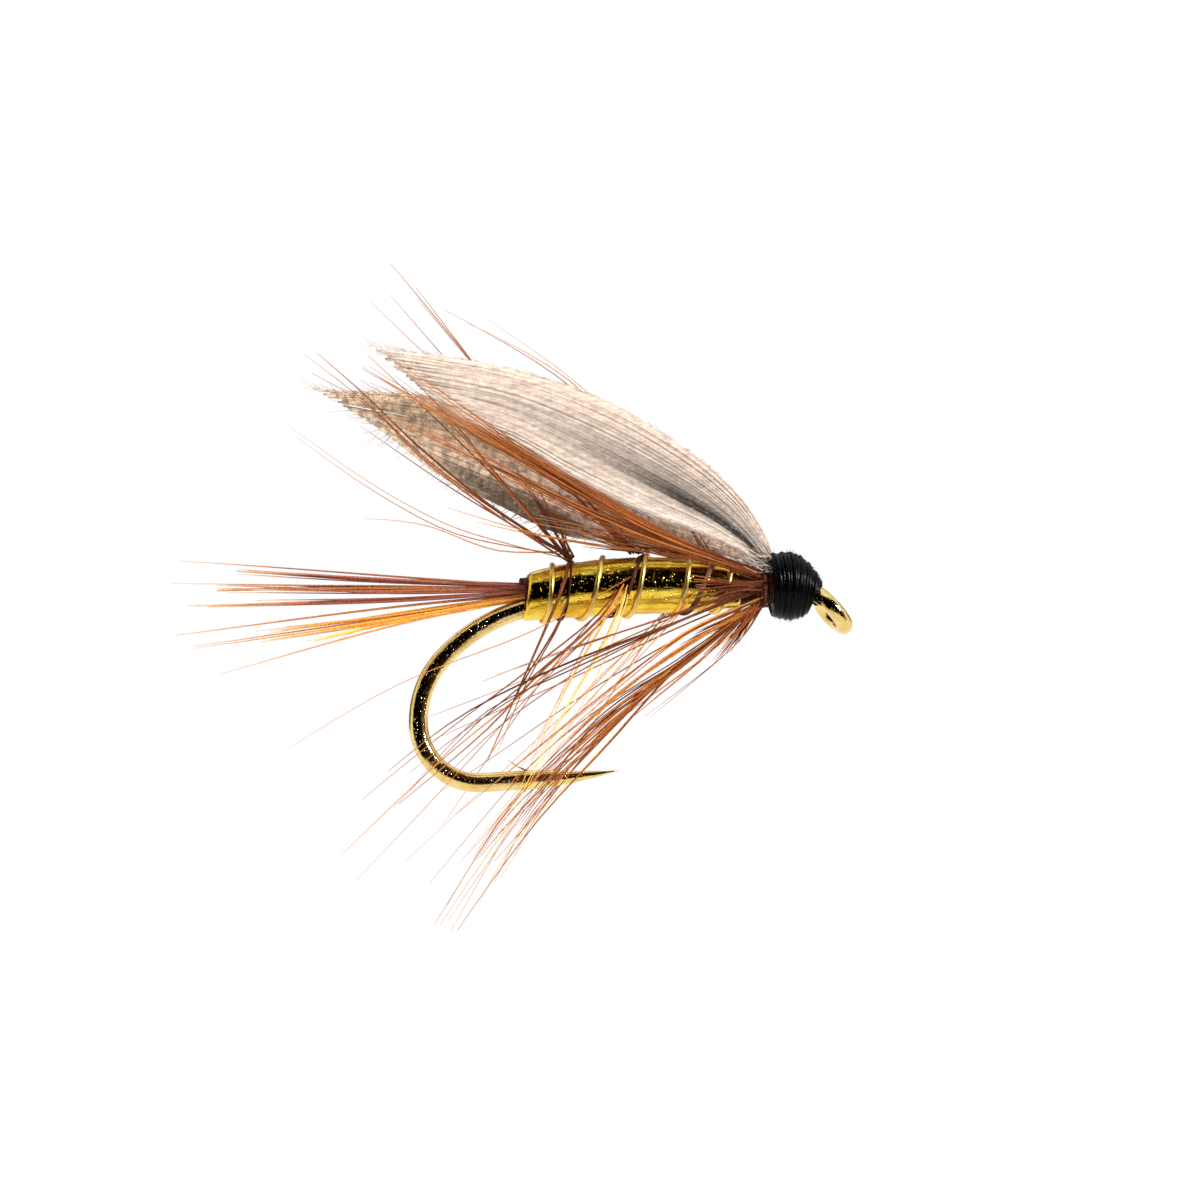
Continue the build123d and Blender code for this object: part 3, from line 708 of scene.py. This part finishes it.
def make_body_stem(material):
    """The quill of the body's hackle, flat and thicker towards the front."""
    stem = Strands()
    path = [stem_point(turn) for turn in np.linspace(*STEM_TURNS, 170)]
    radii = [mix(0.05, 0.085, step / (len(path) - 1)) for step in range(len(path))]
    stem.add(path, radii, tone=0.05, sides=10, flat=0.6)
    finish_piece(stem.build("body_hackle_quill", material), "hackle_stem", "body_hackle_stem")


# ---------------------------------------------------------------- hackles and tail
def collar_point(turn):
    x = mix(*COLLAR_X, clamp(turn / COLLAR_TURNS))
    return ring_point(x, COLLAR_AXIS_Z, COLLAR_RADIUS, turn)


def shake(draw, amount):
    return np.array([draw.gauss(0, amount) for _ in range(3)])


def add_barb(strands, draw, points, radius, tone, stations=16, wave=0.04):
    """One barb through its points, a little wavy, thinning towards its tip."""
    path = np.array([spline_at(points, step / (stations - 1)) for step in range(stations)])
    length = np.linalg.norm(path[-1] - path[0])
    wobble = shake(draw, wave * length / 10)
    turns = draw.uniform(0.6, 1.4)
    phase = draw.uniform(0, 2 * math.pi)
    shares = np.linspace(0, 1, stations)
    path += wobble * (np.sin(phase + shares * turns * 2 * math.pi) * shares)[:, None]
    strands.add(path, radius * (1 - 0.82 * shares**1.9), tone=tone, flat=0.7)


def add_spray(strands, seed, count, root, way, tips, spread=0.25, radius=0.042, tones=(0.1, 0.7), reach=(0.85, 1.0)):
    """Barbs that leave one place on a stem, follow a way together and part towards a row of tips.

    spread is how far they stray at their tips, and reach how much of the last stretch each one covers.
    """
    draw = random.Random(seed)
    tips = [np.array(tip, float) for tip in tips]
    middle = sum(tips) / len(tips)
    for number in range(count):
        tip = tips[0] if len(tips) == 1 else spline_at(tips, (number + draw.uniform(0.1, 0.9)) / count)
        points = [np.array(root) + shake(draw, ROOT_SPREAD)]
        for place, point in enumerate(way):
            part = (place + 1) / (len(way) + 1)
            points.append(np.array(point) + (tip - middle) * part**1.6 + shake(draw, spread * part))
        end = tip + shake(draw, spread)
        points.append(mix(points[-1], end, draw.uniform(*reach)))
        add_barb(strands, draw, points, radius * draw.uniform(0.6, 1.15), draw.uniform(*tones))


def other_side(points):
    return [(x, -y, z) for x, y, z in points]


ROOT_SPREAD = 0.07
REAR_TOP = (-8.48, -0.15, 2.00)
SECOND_TOP = (-6.11, -0.15, 2.14)

# The sparse hackle along the body. Every row is what add_spray takes: the seed of its draws, how many barbs,
# their root, the way they follow and their tips, then spread, radius, tones and reach.
BODY_SPRAYS = (
    # From the tops of the stem's turns, up and back.
    (1, 3, REAR_TOP, [(-11.1, -0.7, 3.77), (-13.3, -1.0, 5.6), (-15.1, -1.2, 7.4)],
     [(-16.8, -1.4, 9.2), (-16.9, -1.5, 8.6)], 0.10, 0.040, (0.1, 0.5)),
    (2, 2, REAR_TOP, [(-10.4, -0.5, 2.5), (-12.65, -0.8, 3.19), (-15.1, -1.0, 4.58)],
     [(-17.0, -1.2, 5.79), (-18.1, -1.3, 6.9)], 0.10, 0.024, (0.35, 0.6)),
    (22, 1, REAR_TOP, [(-10.9, -0.6, 2.35), (-13.2, -0.9, 3.2)],
     [(-15.5, -1.1, 3.6)], 0.1, 0.022, (0.5, 0.65)),
    (3, 3, REAR_TOP, [(-10.2, -0.7, 4.0), (-12.5, -1.2, 6.6)],
     [(-14.8, -1.4, 9.1), (-15.4, -1.3, 8.9)], 0.14, 0.036, (0.1, 0.5)),
    (4, 5, REAR_TOP, [],
     [(-10.6, -0.8, 5.4), (-9.6, -0.7, 4.6), (-8.5, -0.5, 3.7)], 0.12, 0.040, (0.0, 0.3)),
    (5, 4, (-8.46, 0.2, 2.0), [(-11.0, 1.0, 3.9)],
     [(-15.6, 1.6, 8.2), (-13.0, 1.9, 6.0), (-10.4, 1.8, 4.3)], 0.22, 0.030),
    (6, 2, SECOND_TOP, [(-9.4, -0.7, 2.8)],
     [(-13.1, -1.0, 4.1), (-11.9, -0.9, 3.35)], 0.12, 0.026, (0.4, 0.9)),
    (7, 6, SECOND_TOP, [],
     [(-9.9, -0.9, 4.4), (-8.3, -0.8, 3.7), (-7.5, -0.6, 3.4), (-8.4, -0.8, 1.95)],
     0.12, 0.034, (0.0, 0.4)),
    (23, 4, SECOND_TOP, [(-8.6, -0.7, 3.1)],
     [(-12.4, -1.2, 5.6), (-11.2, -1.2, 5.4)], 0.14, 0.030, (0.1, 0.6)),
    (8, 5, (-6.1, 0.2, 2.14), [(-8.6, 1.2, 3.4)],
     [(-13.0, 1.6, 5.4), (-11.0, 1.7, 4.6), (-8.6, 1.3, 3.6)], 0.22, 0.030),
    (9, 4, (-3.75, -0.2, 1.9), [],
     [(-6.6, -0.6, 2.6), (-5.3, -0.5, 2.7), (-4.9, -0.4, 2.5)], 0.12, 0.04, (0.0, 0.4)),
    (10, 5, (-6.3, 0.1, 2.1), [(-9.0, 0.05, 5.3)],
     [(-12.9, 0.0, 10.8), (-14.3, -0.1, 12.6), (-14.7, 0.1, 11.1)], 0.14, 0.036, (0.2, 0.6)),
    (11, 3, (-3.75, 0.1, 1.95), [(-5.7, 0.1, 5.2), (-8.2, 0.1, 8.1)],
     [(-12.2, 0.0, 10.6), (-11.1, 0.0, 10.2)], 0.12, 0.024, (0.3, 0.7)),
    # Down the near side, first along the stem over the body.
    (12, 1, (-8.48, -0.46, 1.86), [(-8.95, -1.08, 0.95), (-9.50, -1.22, -0.10), (-10.40, -1.5, -1.9)],
     [(-11.9, -1.9, -4.85)], 0.02, 0.075, (0.15, 0.25), (0.98, 1.0)),
    (24, 2, (-8.70, -0.95, 0.72), [(-9.3, -1.25, -0.5), (-10.6, -1.6, -2.4)],
     [(-12.0, -2.0, -4.4), (-11.6, -2.0, -5.0)], 0.06, 0.034, (0.05, 0.3), (0.9, 1.0)),
    (13, 3, (-6.2, -0.45, 1.9), [(-7.6, -1.12, 0.1), (-10.2, -1.9, -1.9), (-12.4, -2.4, -3.6)],
     [(-16.4, -2.8, -6.0), (-14.9, -2.8, -6.4)], 0.12, 0.050, (0.0, 0.35), (0.9, 1.0)),
    (14, 3, (-6.3, -0.5, 1.8), [(-7.4, -1.12, 0.0), (-8.9, -1.5, -2.1)],
     [(-10.2, -1.8, -4.4), (-11.6, -2.0, -6.6), (-12.4, -2.0, -9.0)],
     0.14, 0.034, (0.55, 0.95), (0.9, 1.0)),
    (15, 3, (-3.8, -0.5, 1.7), [(-4.9, -0.95, 0.2), (-7.5, -1.5, -2.0)],
     [(-10.9, -2.0, -4.9), (-9.4, -1.8, -4.9)], 0.14, 0.034, (0.6, 0.95), (0.9, 1.0)),
    (16, 4, (-6.4, -0.6, 1.6), [(-7.2, -1.12, -0.2), (-8.6, -1.5, -2.6)],
     [(-10.4, -1.7, -5.6), (-11.9, -1.8, -7.9), (-9.2, -1.6, -4.6)], 0.16, 0.030, (0.8, 1.0), (0.9, 1.0)),
    (17, 1, (-6.4, -0.9, 1.2), [(-10.2, -2.0, -0.5), (-14.7, -2.8, -2.15)],
     [(-19.0, -3.3, -4.2)], 0.08, 0.024, (0.55, 0.65)),
    (18, 2, (-7.0, -1.0, 0.3), [(-10.0, -1.8, -2.2), (-13.4, -2.5, -5.0)],
     [(-17.4, -2.9, -7.8), (-16.6, -2.8, -8.8)], 0.16, 0.028, (0.3, 0.7), (0.95, 1.0)),
    # Down the far side.
    (19, 1, (-7.6, 0.8, 0.3), [(-9.8, 1.8, -1.9)],
     [(-14.8, 2.6, -4.2), (-14.0, 2.9, -6.6), (-11.2, 2.2, -6.0)], 0.22, 0.032, (0.3, 0.9), (0.9, 1.0)),
    (20, 3, (-5.2, 0.8, 0.2), [(-8.2, 1.8, -2.8)],
     [(-15.6, 2.8, -7.4), (-11.0, 2.2, -8.4)], 0.22, 0.028, (0.7, 1.0), (0.9, 1.0)),
    (21, 1, (-4.7, 0.8, 0.2), [(-7.8, 1.7, -1.2)],
     [(-14.2, 2.5, -2.9)], 0.2, 0.028, (0.3, 0.8), (0.9, 1.0)),
)


def make_body_barbs(material):
    """The sparse barbs of the hackle wound along the body: up beside the wings, back and down."""
    s = Strands()
    for spray in BODY_SPRAYS:
        add_spray(s, *spray)
    finish_piece(s.build("body_hackle_fibres", material), "hackle_barb", "body_hackle_barbs")


# The bands of hackle up along a wing, on the near side: way, tips, spread, radius and tones.
BAND_ROOT = (-2.20, -0.45, 1.10)
WING_BANDS = (
    ([(-5.9, -1.15, 2.85), (-8.6, -1.3, 4.55)],
     [(-10.0, -1.3, 5.6), (-11.9, -1.35, 7.0), (-13.0, -1.4, 7.6), (-14.5, -1.4, 9.2)], 0.10, 0.032, (0.0, 0.65)),
    ([(-6.1, -1.2, 2.80), (-9.3, -1.35, 4.80)],
     [(-11.7, -1.4, 6.5), (-13.2, -1.45, 7.5), (-15.5, -1.5, 8.75)], 0.12, 0.034, (0.0, 0.55)),
    ([(-5.9, -1.2, 2.45), (-9.1, -1.35, 3.95)],
     [(-10.9, -1.4, 4.9), (-12.7, -1.45, 6.3), (-15.5, -1.5, 7.6)], 0.12, 0.032, (0.0, 0.65)),
)
FLANK = (-2.20, -0.58, 0.70)
THROAT = (-2.25, -0.35, 0.20)
BEARD_TIPS = [
    (-14.0, -1.4, -8.4), (-13.9, -1.3, -9.7), (-14.2, -1.5, -10.2), (-13.2, -1.0, -10.9), (-12.8, -1.0, -9.6),
    (-12.0, -0.9, -8.2),
]

# The rest of the hackle behind the head, in rows like those of the body.
COLLAR_SPRAYS = (
    (37, 9, (-2.2, -0.55, 1.0), [(-5.0, -1.0, 2.0)],
     [(-7.6, -1.1, 2.2), (-9.4, -1.2, 2.9), (-10.8, -1.3, 3.9)], 0.12, 0.034, (0.0, 0.5)),
    # The fan along and under the body.
    (41, 2, FLANK, [(-4.9, -1.25, 0.0), (-7.9, -1.6, -0.85)],
     [(-11.2, -2.0, -1.6), (-13.0, -2.3, -2.6)], 0.12, 0.040, (0.05, 0.5), (0.95, 1.0)),
    (42, 4, FLANK, [(-5.1, -1.2, -0.3), (-8.9, -1.8, -1.8), (-12.2, -2.3, -3.4)],
     [(-15.8, -2.7, -4.9), (-14.0, -2.6, -5.6)], 0.16, 0.042, (0.0, 0.5), (0.8, 1.0)),
    (43, 3, (-2.2, -0.5, 0.4), [(-5.0, -1.1, -0.8), (-8.2, -1.6, -2.9)],
     [(-13.3, -2.2, -6.4), (-11.4, -2.0, -5.4)], 0.14, 0.036, (0.2, 0.8), (0.95, 1.0)),
    (44, 2, (-2.2, 0.55, 0.5), [(-5.2, 1.2, -0.6), (-8.8, 1.9, -2.0)],
     [(-13.2, 2.6, -3.0), (-13.0, 2.5, -5.6)], 0.18, 0.030, (0.3, 0.9), (0.95, 1.0)),
    # The beard.
    (51, 12, THROAT, [(-5.1, -0.8, -1.67), (-7.9, -1.1, -3.65), (-10.4, -1.3, -5.85)],
     BEARD_TIPS, 0.20, 0.037, (0.0, 0.6), (0.3, 1.0)),
    (52, 6, (-2.25, 0.3, 0.2), other_side([(-5.1, -0.8, -1.7), (-7.9, -1.0, -3.9), (-10.4, -1.2, -6.1)]),
     other_side(BEARD_TIPS), 0.26, 0.030, (0.2, 0.9), (0.4, 1.0)),
    (58, 6, THROAT, [(-5.2, -0.9, -1.8), (-8.0, -1.2, -3.8)],
     [(-10.8, -1.3, -6.0), (-12.0, -1.3, -7.8)], 0.16, 0.040, (0.0, 0.35), (0.7, 1.0)),
    (53, 5, THROAT, [(-4.8, -0.9, -1.1), (-7.3, -1.3, -2.7)],
     [(-9.4, -1.5, -4.4), (-10.4, -1.6, -5.0)], 0.14, 0.036, (0.5, 1.0)),
    (54, 4, THROAT, [(-4.2, -0.6, -1.5)],
     [(-6.6, -0.7, -3.4), (-7.6, -0.8, -3.9)], 0.16, 0.030, (0.2, 0.7)),
    (55, 34, (-2.3, -0.42, 0.15), [],
     [(-5.2, -0.8, -0.9), (-4.7, -0.6, -1.7), (-3.5, -0.3, -1.6)], 0.22, 0.036, (0.0, 0.5), (0.5, 1.0)),
    (59, 24, (-2.1, -0.60, 0.75), [(-3.2, -0.86, 0.7)],
     [(-4.8, -1.0, 1.3), (-4.9, -1.0, 0.7), (-4.4, -0.95, -0.2)], 0.12, 0.034, (0.0, 0.12), (0.45, 0.95)),
    (56, 12, (-2.3, 0.42, 0.15), [],
     [(-4.6, 0.7, -0.9), (-4.1, 0.5, -1.3), (-3.3, 0.3, -1.1)], 0.20, 0.038, (0.0, 0.35), (0.5, 1.0)),
    (57, 2, (-2.2, -0.2, 0.2), [(-3.3, -0.5, -1.3)],
     [(-6.4, -0.7, -3.8), (-6.7, -0.6, -3.6)], 0.08, 0.022, (0.1, 0.4)),
)


def make_collar_barbs(material):
    """The dense hackle behind the head: a band up along each wing, a fan below and a beard."""
    s = Strands()
    for place, seed, counts in ((list, 31, (20, 28, 20)), (other_side, 34, (9, 10, 9))):
        root = place([BAND_ROOT])[0]
        for number, (way, tips, *look) in enumerate(WING_BANDS):
            add_spray(s, seed + number, counts[number], root, place(way), place(tips), *look)
    for spray in COLLAR_SPRAYS:
        add_spray(s, *spray)
    finish_piece(s.build("collar_hackle_fibres", material), "hackle_barb", "collar_hackle_barbs")


def make_collar_stem(material):
    turns = np.linspace(0, COLLAR_TURNS, 180)
    stem = Strands()
    stem.add([collar_point(turn) for turn in turns], [0.07] * len(turns), tone=0.05, sides=8, flat=0.7)
    finish_piece(stem.build("collar_hackle_quill", material), "hackle_stem", "collar_hackle_stem")


# Clumps of the tail: how many barbs, the height they leave the body at, their height half way, tip and tones.
TAIL_CLUMPS = (
    (6, 1.16, 1.58, (-19.4, -0.5, 2.14), (0.10, 0.45)),
    (1, 1.16, 1.72, (-21.3, -0.6, 2.60), (0.30, 0.50)),
    (8, 1.10, 1.36, (-19.9, 0.3, 1.71), (0.15, 0.65)),
    (1, 1.10, 1.42, (-21.2, 0.5, 1.92), (0.40, 0.60)),
    (3, 1.08, 1.22, (-19.6, -0.2, 1.46), (0.10, 0.50)),
    (8, 0.98, 0.93, (-20.3, -0.6, 1.02), (0.05, 0.55)),
    (8, 0.90, 0.46, (-18.4, 0.5, 0.21), (0.50, 0.90)),
    (2, 0.90, 0.42, (-21.2, 0.4, -0.28), (0.50, 0.80)),
    (6, 0.86, 0.28, (-18.8, -0.3, -0.18), (0.55, 0.95)),
    (4, 0.80, 0.16, (-17.2, -0.6, -0.30), (0.70, 1.00)),
    (1, 0.80, 0.10, (-20.4, -0.7, -1.20), (0.50, 0.80)),
    (1, 0.94, 0.66, (-21.6, 0.6, 0.30), (0.40, 0.70)),
)
TAIL_MIDDLE_X = -14.6


def make_tail():
    """The tail: mahogany clumps that run straight back, and lighter amber ones that sag below them."""
    material = barb_material(
        "tail_barbs_mahogany",
        (0.070, 0.018, 0.014), (0.19, 0.060, 0.040), (0.50, 0.185, 0.030), (0.84, 0.43, 0.06), (0.58, 0.34, 0.17),
    )
    s = Strands()
    draw = random.Random(5)
    for count, start_z, middle_z, tip, tones in TAIL_CLUMPS:
        for _ in range(count):
            root = np.array((BODY_X[0] + 0.25, draw.uniform(-0.22, 0.22), start_z + draw.gauss(0, 0.03)))
            middle_y = tip[1] * 0.45 + draw.gauss(0, 0.05)
            middle = np.array((TAIL_MIDDLE_X, middle_y, middle_z + draw.gauss(0, 0.035)))
            end = np.array(tip) + [draw.gauss(0, deviation) for deviation in (0.50, 0.10, 0.06)]
            add_barb(s, draw, (root, middle, end), draw.uniform(0.034, 0.056), draw.uniform(*tones), 20, 0.015)
    finish_piece(s.build("tail_fibres", material), "tail_barb", "tail_barbs")


# ---------------------------------------------------------------- wings
NEAR_UPPER = (
    (-1.10, 1.30), (-1.62, 1.62), (-1.95, 2.55), (-2.85, 4.02), (-4.60, 5.66), (-7.30, 7.33),
    (-10.50, 8.50), (-14.78, 9.36),
)
NEAR_LOWER = (
    (-1.10, 1.02), (-1.98, 1.36), (-2.90, 1.97), (-4.30, 2.63), (-6.00, 3.30), (-8.20, 4.50),
    (-10.20, 5.90), (-12.00, 6.75),
)
FAR_UPPER = (
    (-1.10, 1.30), (-1.70, 1.62), (-2.30, 2.60), (-3.60, 3.85), (-5.90, 5.35), (-9.00, 6.75),
    (-12.60, 7.72), (-16.45, 8.14),
)
FAR_LOWER = (
    (-1.10, 1.02), (-2.00, 1.50), (-3.90, 2.10), (-6.40, 2.52), (-8.60, 2.95), (-10.50, 3.95),
    (-12.60, 5.15), (-14.30, 6.70),
)


def wing_depth(share, across, side):
    """How far a place on a wing slip stands out from the middle plane: the slip is cupped and flared."""
    inner = 0.02 + 0.62 * share**1.4
    flare = 0.50 * math.sin(math.pi * min(1.0, 1.1 * share)) * (1 - across) ** 1.2
    return side * (inner + flare + 0.06)


def wing_point(upper, lower, side, share, across):
    low, high = spline_at(lower, share), spline_at(upper, share)
    x, z = mix(low, high, across)
    return np.array((x, wing_depth(share, across, side), z))


def make_wing(name, upper, lower, side, count, seed, ragged, material, slot, node):
    """A slip of quill: barbs side by side from butt to tip, hooked together, loose only at their ends."""
    draw = random.Random(seed)
    s = Strands()
    stations = 44
    for number in range(count):
        across = (number + 0.5) / count
        reach = 1.0 - abs(draw.gauss(0, ragged))
        lift = draw.gauss(0, 0.014)
        wave = draw.uniform(0, 2 * math.pi)
        stray = draw.gauss(0, 0.8) / count
        path, widths = [], []
        for place in range(stations):
            share = reach * place / (stations - 1)
            loose = smooth_step(0.88, 1.0, share)
            here = across + stray * loose + 0.10 / count * math.sin(wave + share * 9)
            point = wing_point(upper, lower, side, share, here)
            point[1] += side * (lift + 0.015 * math.sin(wave + 7 * share) + draw.gauss(0, 0.04) * loose)
            path.append(point)
            span = np.linalg.norm(spline_at(upper, share) - spline_at(lower, share))
            widths.append(span / count * mix(0.64, 0.50, smooth_step(0.90, 1.0, share)) + 0.004)
        tone = clamp(across + draw.gauss(0, 0.012))
        along = [reach * place / (stations - 1) for place in range(stations)]
        s.add(path, widths, tone=tone, sides=8, flat=0.42, wide=(0.35, 0.0, 1.0), along=along)
    add_wing_fuzz(s, draw, upper, lower, side, 620, (0.10, 0.26 + 5 * ragged))
    add_wing_down(s, draw, side)
    finish_piece(s.build(name, material), slot, node)


def add_wing_down(s, draw, side):
    """The pale down at the butt of a slip, just behind the head."""
    for _ in range(70):
        root = np.array((draw.uniform(-1.75, -2.3), side * draw.uniform(0.25, 0.62), draw.uniform(1.15, 1.75)))
        way = np.array((-draw.uniform(0.4, 1.0), side * draw.uniform(0.0, 0.25), draw.uniform(0.0, 0.75)))
        middle = root + way * 0.5 + shake(draw, 0.06)
        tone = draw.choice((0.0, 0.12))
        s.add([root, middle, root + way], [0.018, 0.014, 0.005], tone=tone, sides=5, along=[0.1] * 3)


def add_wing_fuzz(s, draw, upper, lower, side, count, lengths):
    """Barbules that have come unhooked: along both edges, on the faces and at the ragged tip."""
    for _ in range(count):
        share = draw.uniform(0.06, 1.0)
        edge = draw.random()
        across = 1.0 if edge < 0.45 else (0.0 if edge < 0.6 else draw.random())
        root = wing_point(upper, lower, side, share, across)
        outward = 1.0 if across > 0.9 else (-1.0 if across < 0.1 else draw.uniform(-0.4, 0.6))
        length = draw.uniform(*lengths) * (1.0 + smooth_step(0.85, 1.0, share))
        way = np.array((-1.0 + draw.gauss(0, 0.25), side * draw.uniform(0.0, 0.5), outward * draw.uniform(0.2, 0.9)))
        way *= length / np.linalg.norm(way)
        path = [root, root + way * 0.5 + np.array((0, 0, draw.gauss(0, 0.01))), root + way]
        s.add(path, [0.009, 0.007, 0.003], tone=clamp(across + draw.gauss(0, 0.05)), sides=4, along=[share] * 3)


def make_wings():
    near = wing_material(
        "wing_grey_quill",
        (
            (0.0, 0.17, 0.125, 0.10), (0.08, 0.46, 0.375, 0.31), (0.24, 0.33, 0.265, 0.215), (0.50, 0.18, 0.140, 0.115),
            (0.62, 0.25, 0.200, 0.165), (0.82, 0.36, 0.280, 0.225), (1.0, 0.48, 0.375, 0.31),
        ),
        (0.012, 0.007, 0.004),
        ((0.30, 0.0), (0.36, 1.0), (0.435, 1.0), (0.54, 0.0)),
        ((0.0, 1.0), (0.50, 0.96), (0.72, 0.50), (0.92, 0.0)),
        (0.48, 0.38, 0.31),
        mottle=0.58,
        blotches=0.12,
        flecks=0.16,
    )
    far = wing_material(
        "wing_brown_quill",
        (
            (0.0, 0.80, 0.56, 0.43), (0.18, 0.84, 0.60, 0.46), (0.40, 0.76, 0.52, 0.38), (0.60, 0.46, 0.27, 0.16),
            # The dark stop at 0.70 across is painted shadow under the near slip's lower edge.
            (0.70, 0.13, 0.058, 0.030), (0.80, 0.46, 0.275, 0.165), (1.0, 0.66, 0.46, 0.31),
        ),
        (0.035, 0.016, 0.008),
        ((0.0, 1.0), (0.16, 1.0), (0.27, 0.0)),
        ((0.48, 0.0), (0.59, 1.0), (0.80, 1.0), (0.88, 0.0)),
        (0.56, 0.40, 0.27),
        mottle=0.50,
        blotches=0.50,
        flecks=0.25,
    )
    make_wing("wing_slip_near", NEAR_UPPER, NEAR_LOWER, -1, 46, 41, 0.012, near, "wing_grey", "wing_slip_right")
    make_wing("wing_slip_far", FAR_UPPER, FAR_LOWER, 1, 44, 42, 0.035, far, "wing_brown", "wing_slip_left")


# ---------------------------------------------------------------- thread
def add_winding(s, draw, surface, turns, start, end, thread):
    """Flat thread wound over a surface. surface gives the point at a share of the way along and a turn round."""
    steps = round(turns * 40)
    path = []
    for step in range(steps + 1):
        turn = turns * step / steps
        along = mix(start, end, step / steps) + 0.004 * math.sin(2.6 * turn)
        point, outward = surface(clamp(along), turn)
        path.append(point + outward * (0.007 * math.sin(turn * 17) - 0.7 * thread))
    s.add(path, [thread * 1.15] * len(path), tone=draw.random(), sides=8, flat=0.5, wide=(1.0, 0.0, -0.15))


def add_lint(s, draw, count, lengths, radius):
    """Short broken filaments that stand off the head."""
    for _ in range(count):
        root, outward = head_point(draw.uniform(0.0, 0.92), draw.random(), 0.01)
        sideways = shake(draw, 1) * 0.6
        way = outward * draw.uniform(0.2, 0.9) + sideways
        way *= draw.uniform(*lengths) / np.linalg.norm(way)
        bend = shake(draw, 0.03)
        s.add([root, root + way * 0.5 + bend, root + way], [radius, radius * 0.8, radius * 0.4], sides=4)


def make_head():
    """The head: a smooth core of thread, two crossing layers of turns over it, and lint."""
    black = thread_material("head_thread_black", (0.0004, 0.0004, 0.0005), (0.0014, 0.0014, 0.0017), 0.27, 0.09)
    draw = random.Random(61)
    s = Strands()
    rows, columns = 41, 64
    for row in range(rows):
        for column in range(columns):
            s.vertices.append(head_point(row / (rows - 1), column / columns, -CORE_DEPTH)[0])
    s.faces += tube_faces(rows, columns)
    s.along += [0.5] * (rows * columns)
    s.tone += [0.5] * (rows * columns)
    add_winding(s, draw, head_point, 17, 0.01, 0.90, THREAD_RADIUS)
    add_winding(s, draw, lambda share, turn: head_point(share, turn, 0.03), 7, 0.88, 0.06, THREAD_RADIUS)
    add_lint(s, draw, 260, (0.05, 0.15), 0.008)
    finish_piece(s.build("head_thread_wraps", black), "thread_black", "head_wraps")

    s = Strands()
    add_winding(s, draw, lambda share, turn: head_point(share, turn, 0.02), 4, 0.86, 1.0, THREAD_RADIUS)
    add_lint(s, draw, 40, (0.04, 0.10), 0.007)
    finish_piece(s.build("whip_finish_wraps", black), "thread_black", "whip_finish")


def make_neck():
    """Brown thread between body and head, half hidden by the roots of the collar hackle."""
    brown = thread_material("neck_thread_brown", (0.010, 0.003, 0.002), (0.040, 0.010, 0.006), 0.42, 0.12)
    draw = random.Random(71)
    s = Strands()
    neck_radius = COLLAR_RADIUS - 0.06
    core = [(mix(-3.05, -1.72, step / 8), 0.0, COLLAR_AXIS_Z) for step in range(9)]
    s.add(core, [neck_radius - 0.03] * 9, sides=40)

    def on_neck(share, turn):
        point = ring_point(mix(-2.95, -1.75, share), COLLAR_AXIS_Z, neck_radius, turn)
        return point, ring_point(0.0, 0.0, 1.0, turn)

    add_winding(s, draw, on_neck, 12, 0.0, 1.0, THREAD_RADIUS)
    finish_piece(s.build("neck_thread_wraps", brown), "thread_brown", "neck_wraps")

    s = Strands()

    def on_tail(share, turn):
        return ring_point(mix(-10.14, -9.90, share), 0.86, 0.62, turn), ring_point(0.0, 0.0, 1.0, turn)

    add_winding(s, draw, on_tail, 3, 0.0, 1.0, THREAD_RADIUS)
    for _ in range(5):
        root = np.array((-10.06, draw.uniform(-0.2, 0.2), draw.uniform(1.2, 1.4)))
        end = root + np.array((draw.uniform(-0.15, 0.05), draw.gauss(0, 0.06), draw.uniform(0.0, 0.12)))
        s.add([root, mix(root, end, 0.5), end], [0.05, 0.045, 0.03], sides=6)
    finish_piece(s.build("tail_lashing_wraps", brown), "thread_brown", "tail_lashing")


def dress_hidden_pieces():
    """Materials for the pieces that keep their CAD shape inside the body and the head."""
    floss = thread_material("floss_yellow", (0.42, 0.26, 0.05), (0.75, 0.52, 0.16), 0.5)
    bed = thread_material("thread_bed_brown", (0.03, 0.014, 0.009), (0.10, 0.045, 0.028), 0.5)
    core = thread_material("head_core_black", (0.0005, 0.0005, 0.0006), (0.0030, 0.0030, 0.0034), 0.45)
    for node, material in (("floss_underbody", floss), ("thread_base", bed), ("head_core", core)):
        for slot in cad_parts[node].material_slots:
            slot.material = material


# ---------------------------------------------------------------- the whole fly
def main():
    make_studio()
    make_hook()
    make_tinsel()
    make_rib()
    red_brown = barb_material(
        "hackle_barbs_red_brown",
        (0.060, 0.015, 0.006), (0.18, 0.048, 0.012), (0.41, 0.148, 0.026), (0.88, 0.54, 0.12), (0.38, 0.17, 0.07),
    )
    quill = barb_material(
        "hackle_quill_brown",
        (0.030, 0.009, 0.005), (0.08, 0.024, 0.011), (0.16, 0.06, 0.03), (0.24, 0.10, 0.05), (0.24, 0.10, 0.05),
    )
    make_body_stem(quill)
    make_collar_stem(quill)
    make_body_barbs(red_brown)
    make_collar_barbs(red_brown)
    make_tail()
    make_wings()
    make_neck()
    make_head()
    dress_hidden_pieces()


main()
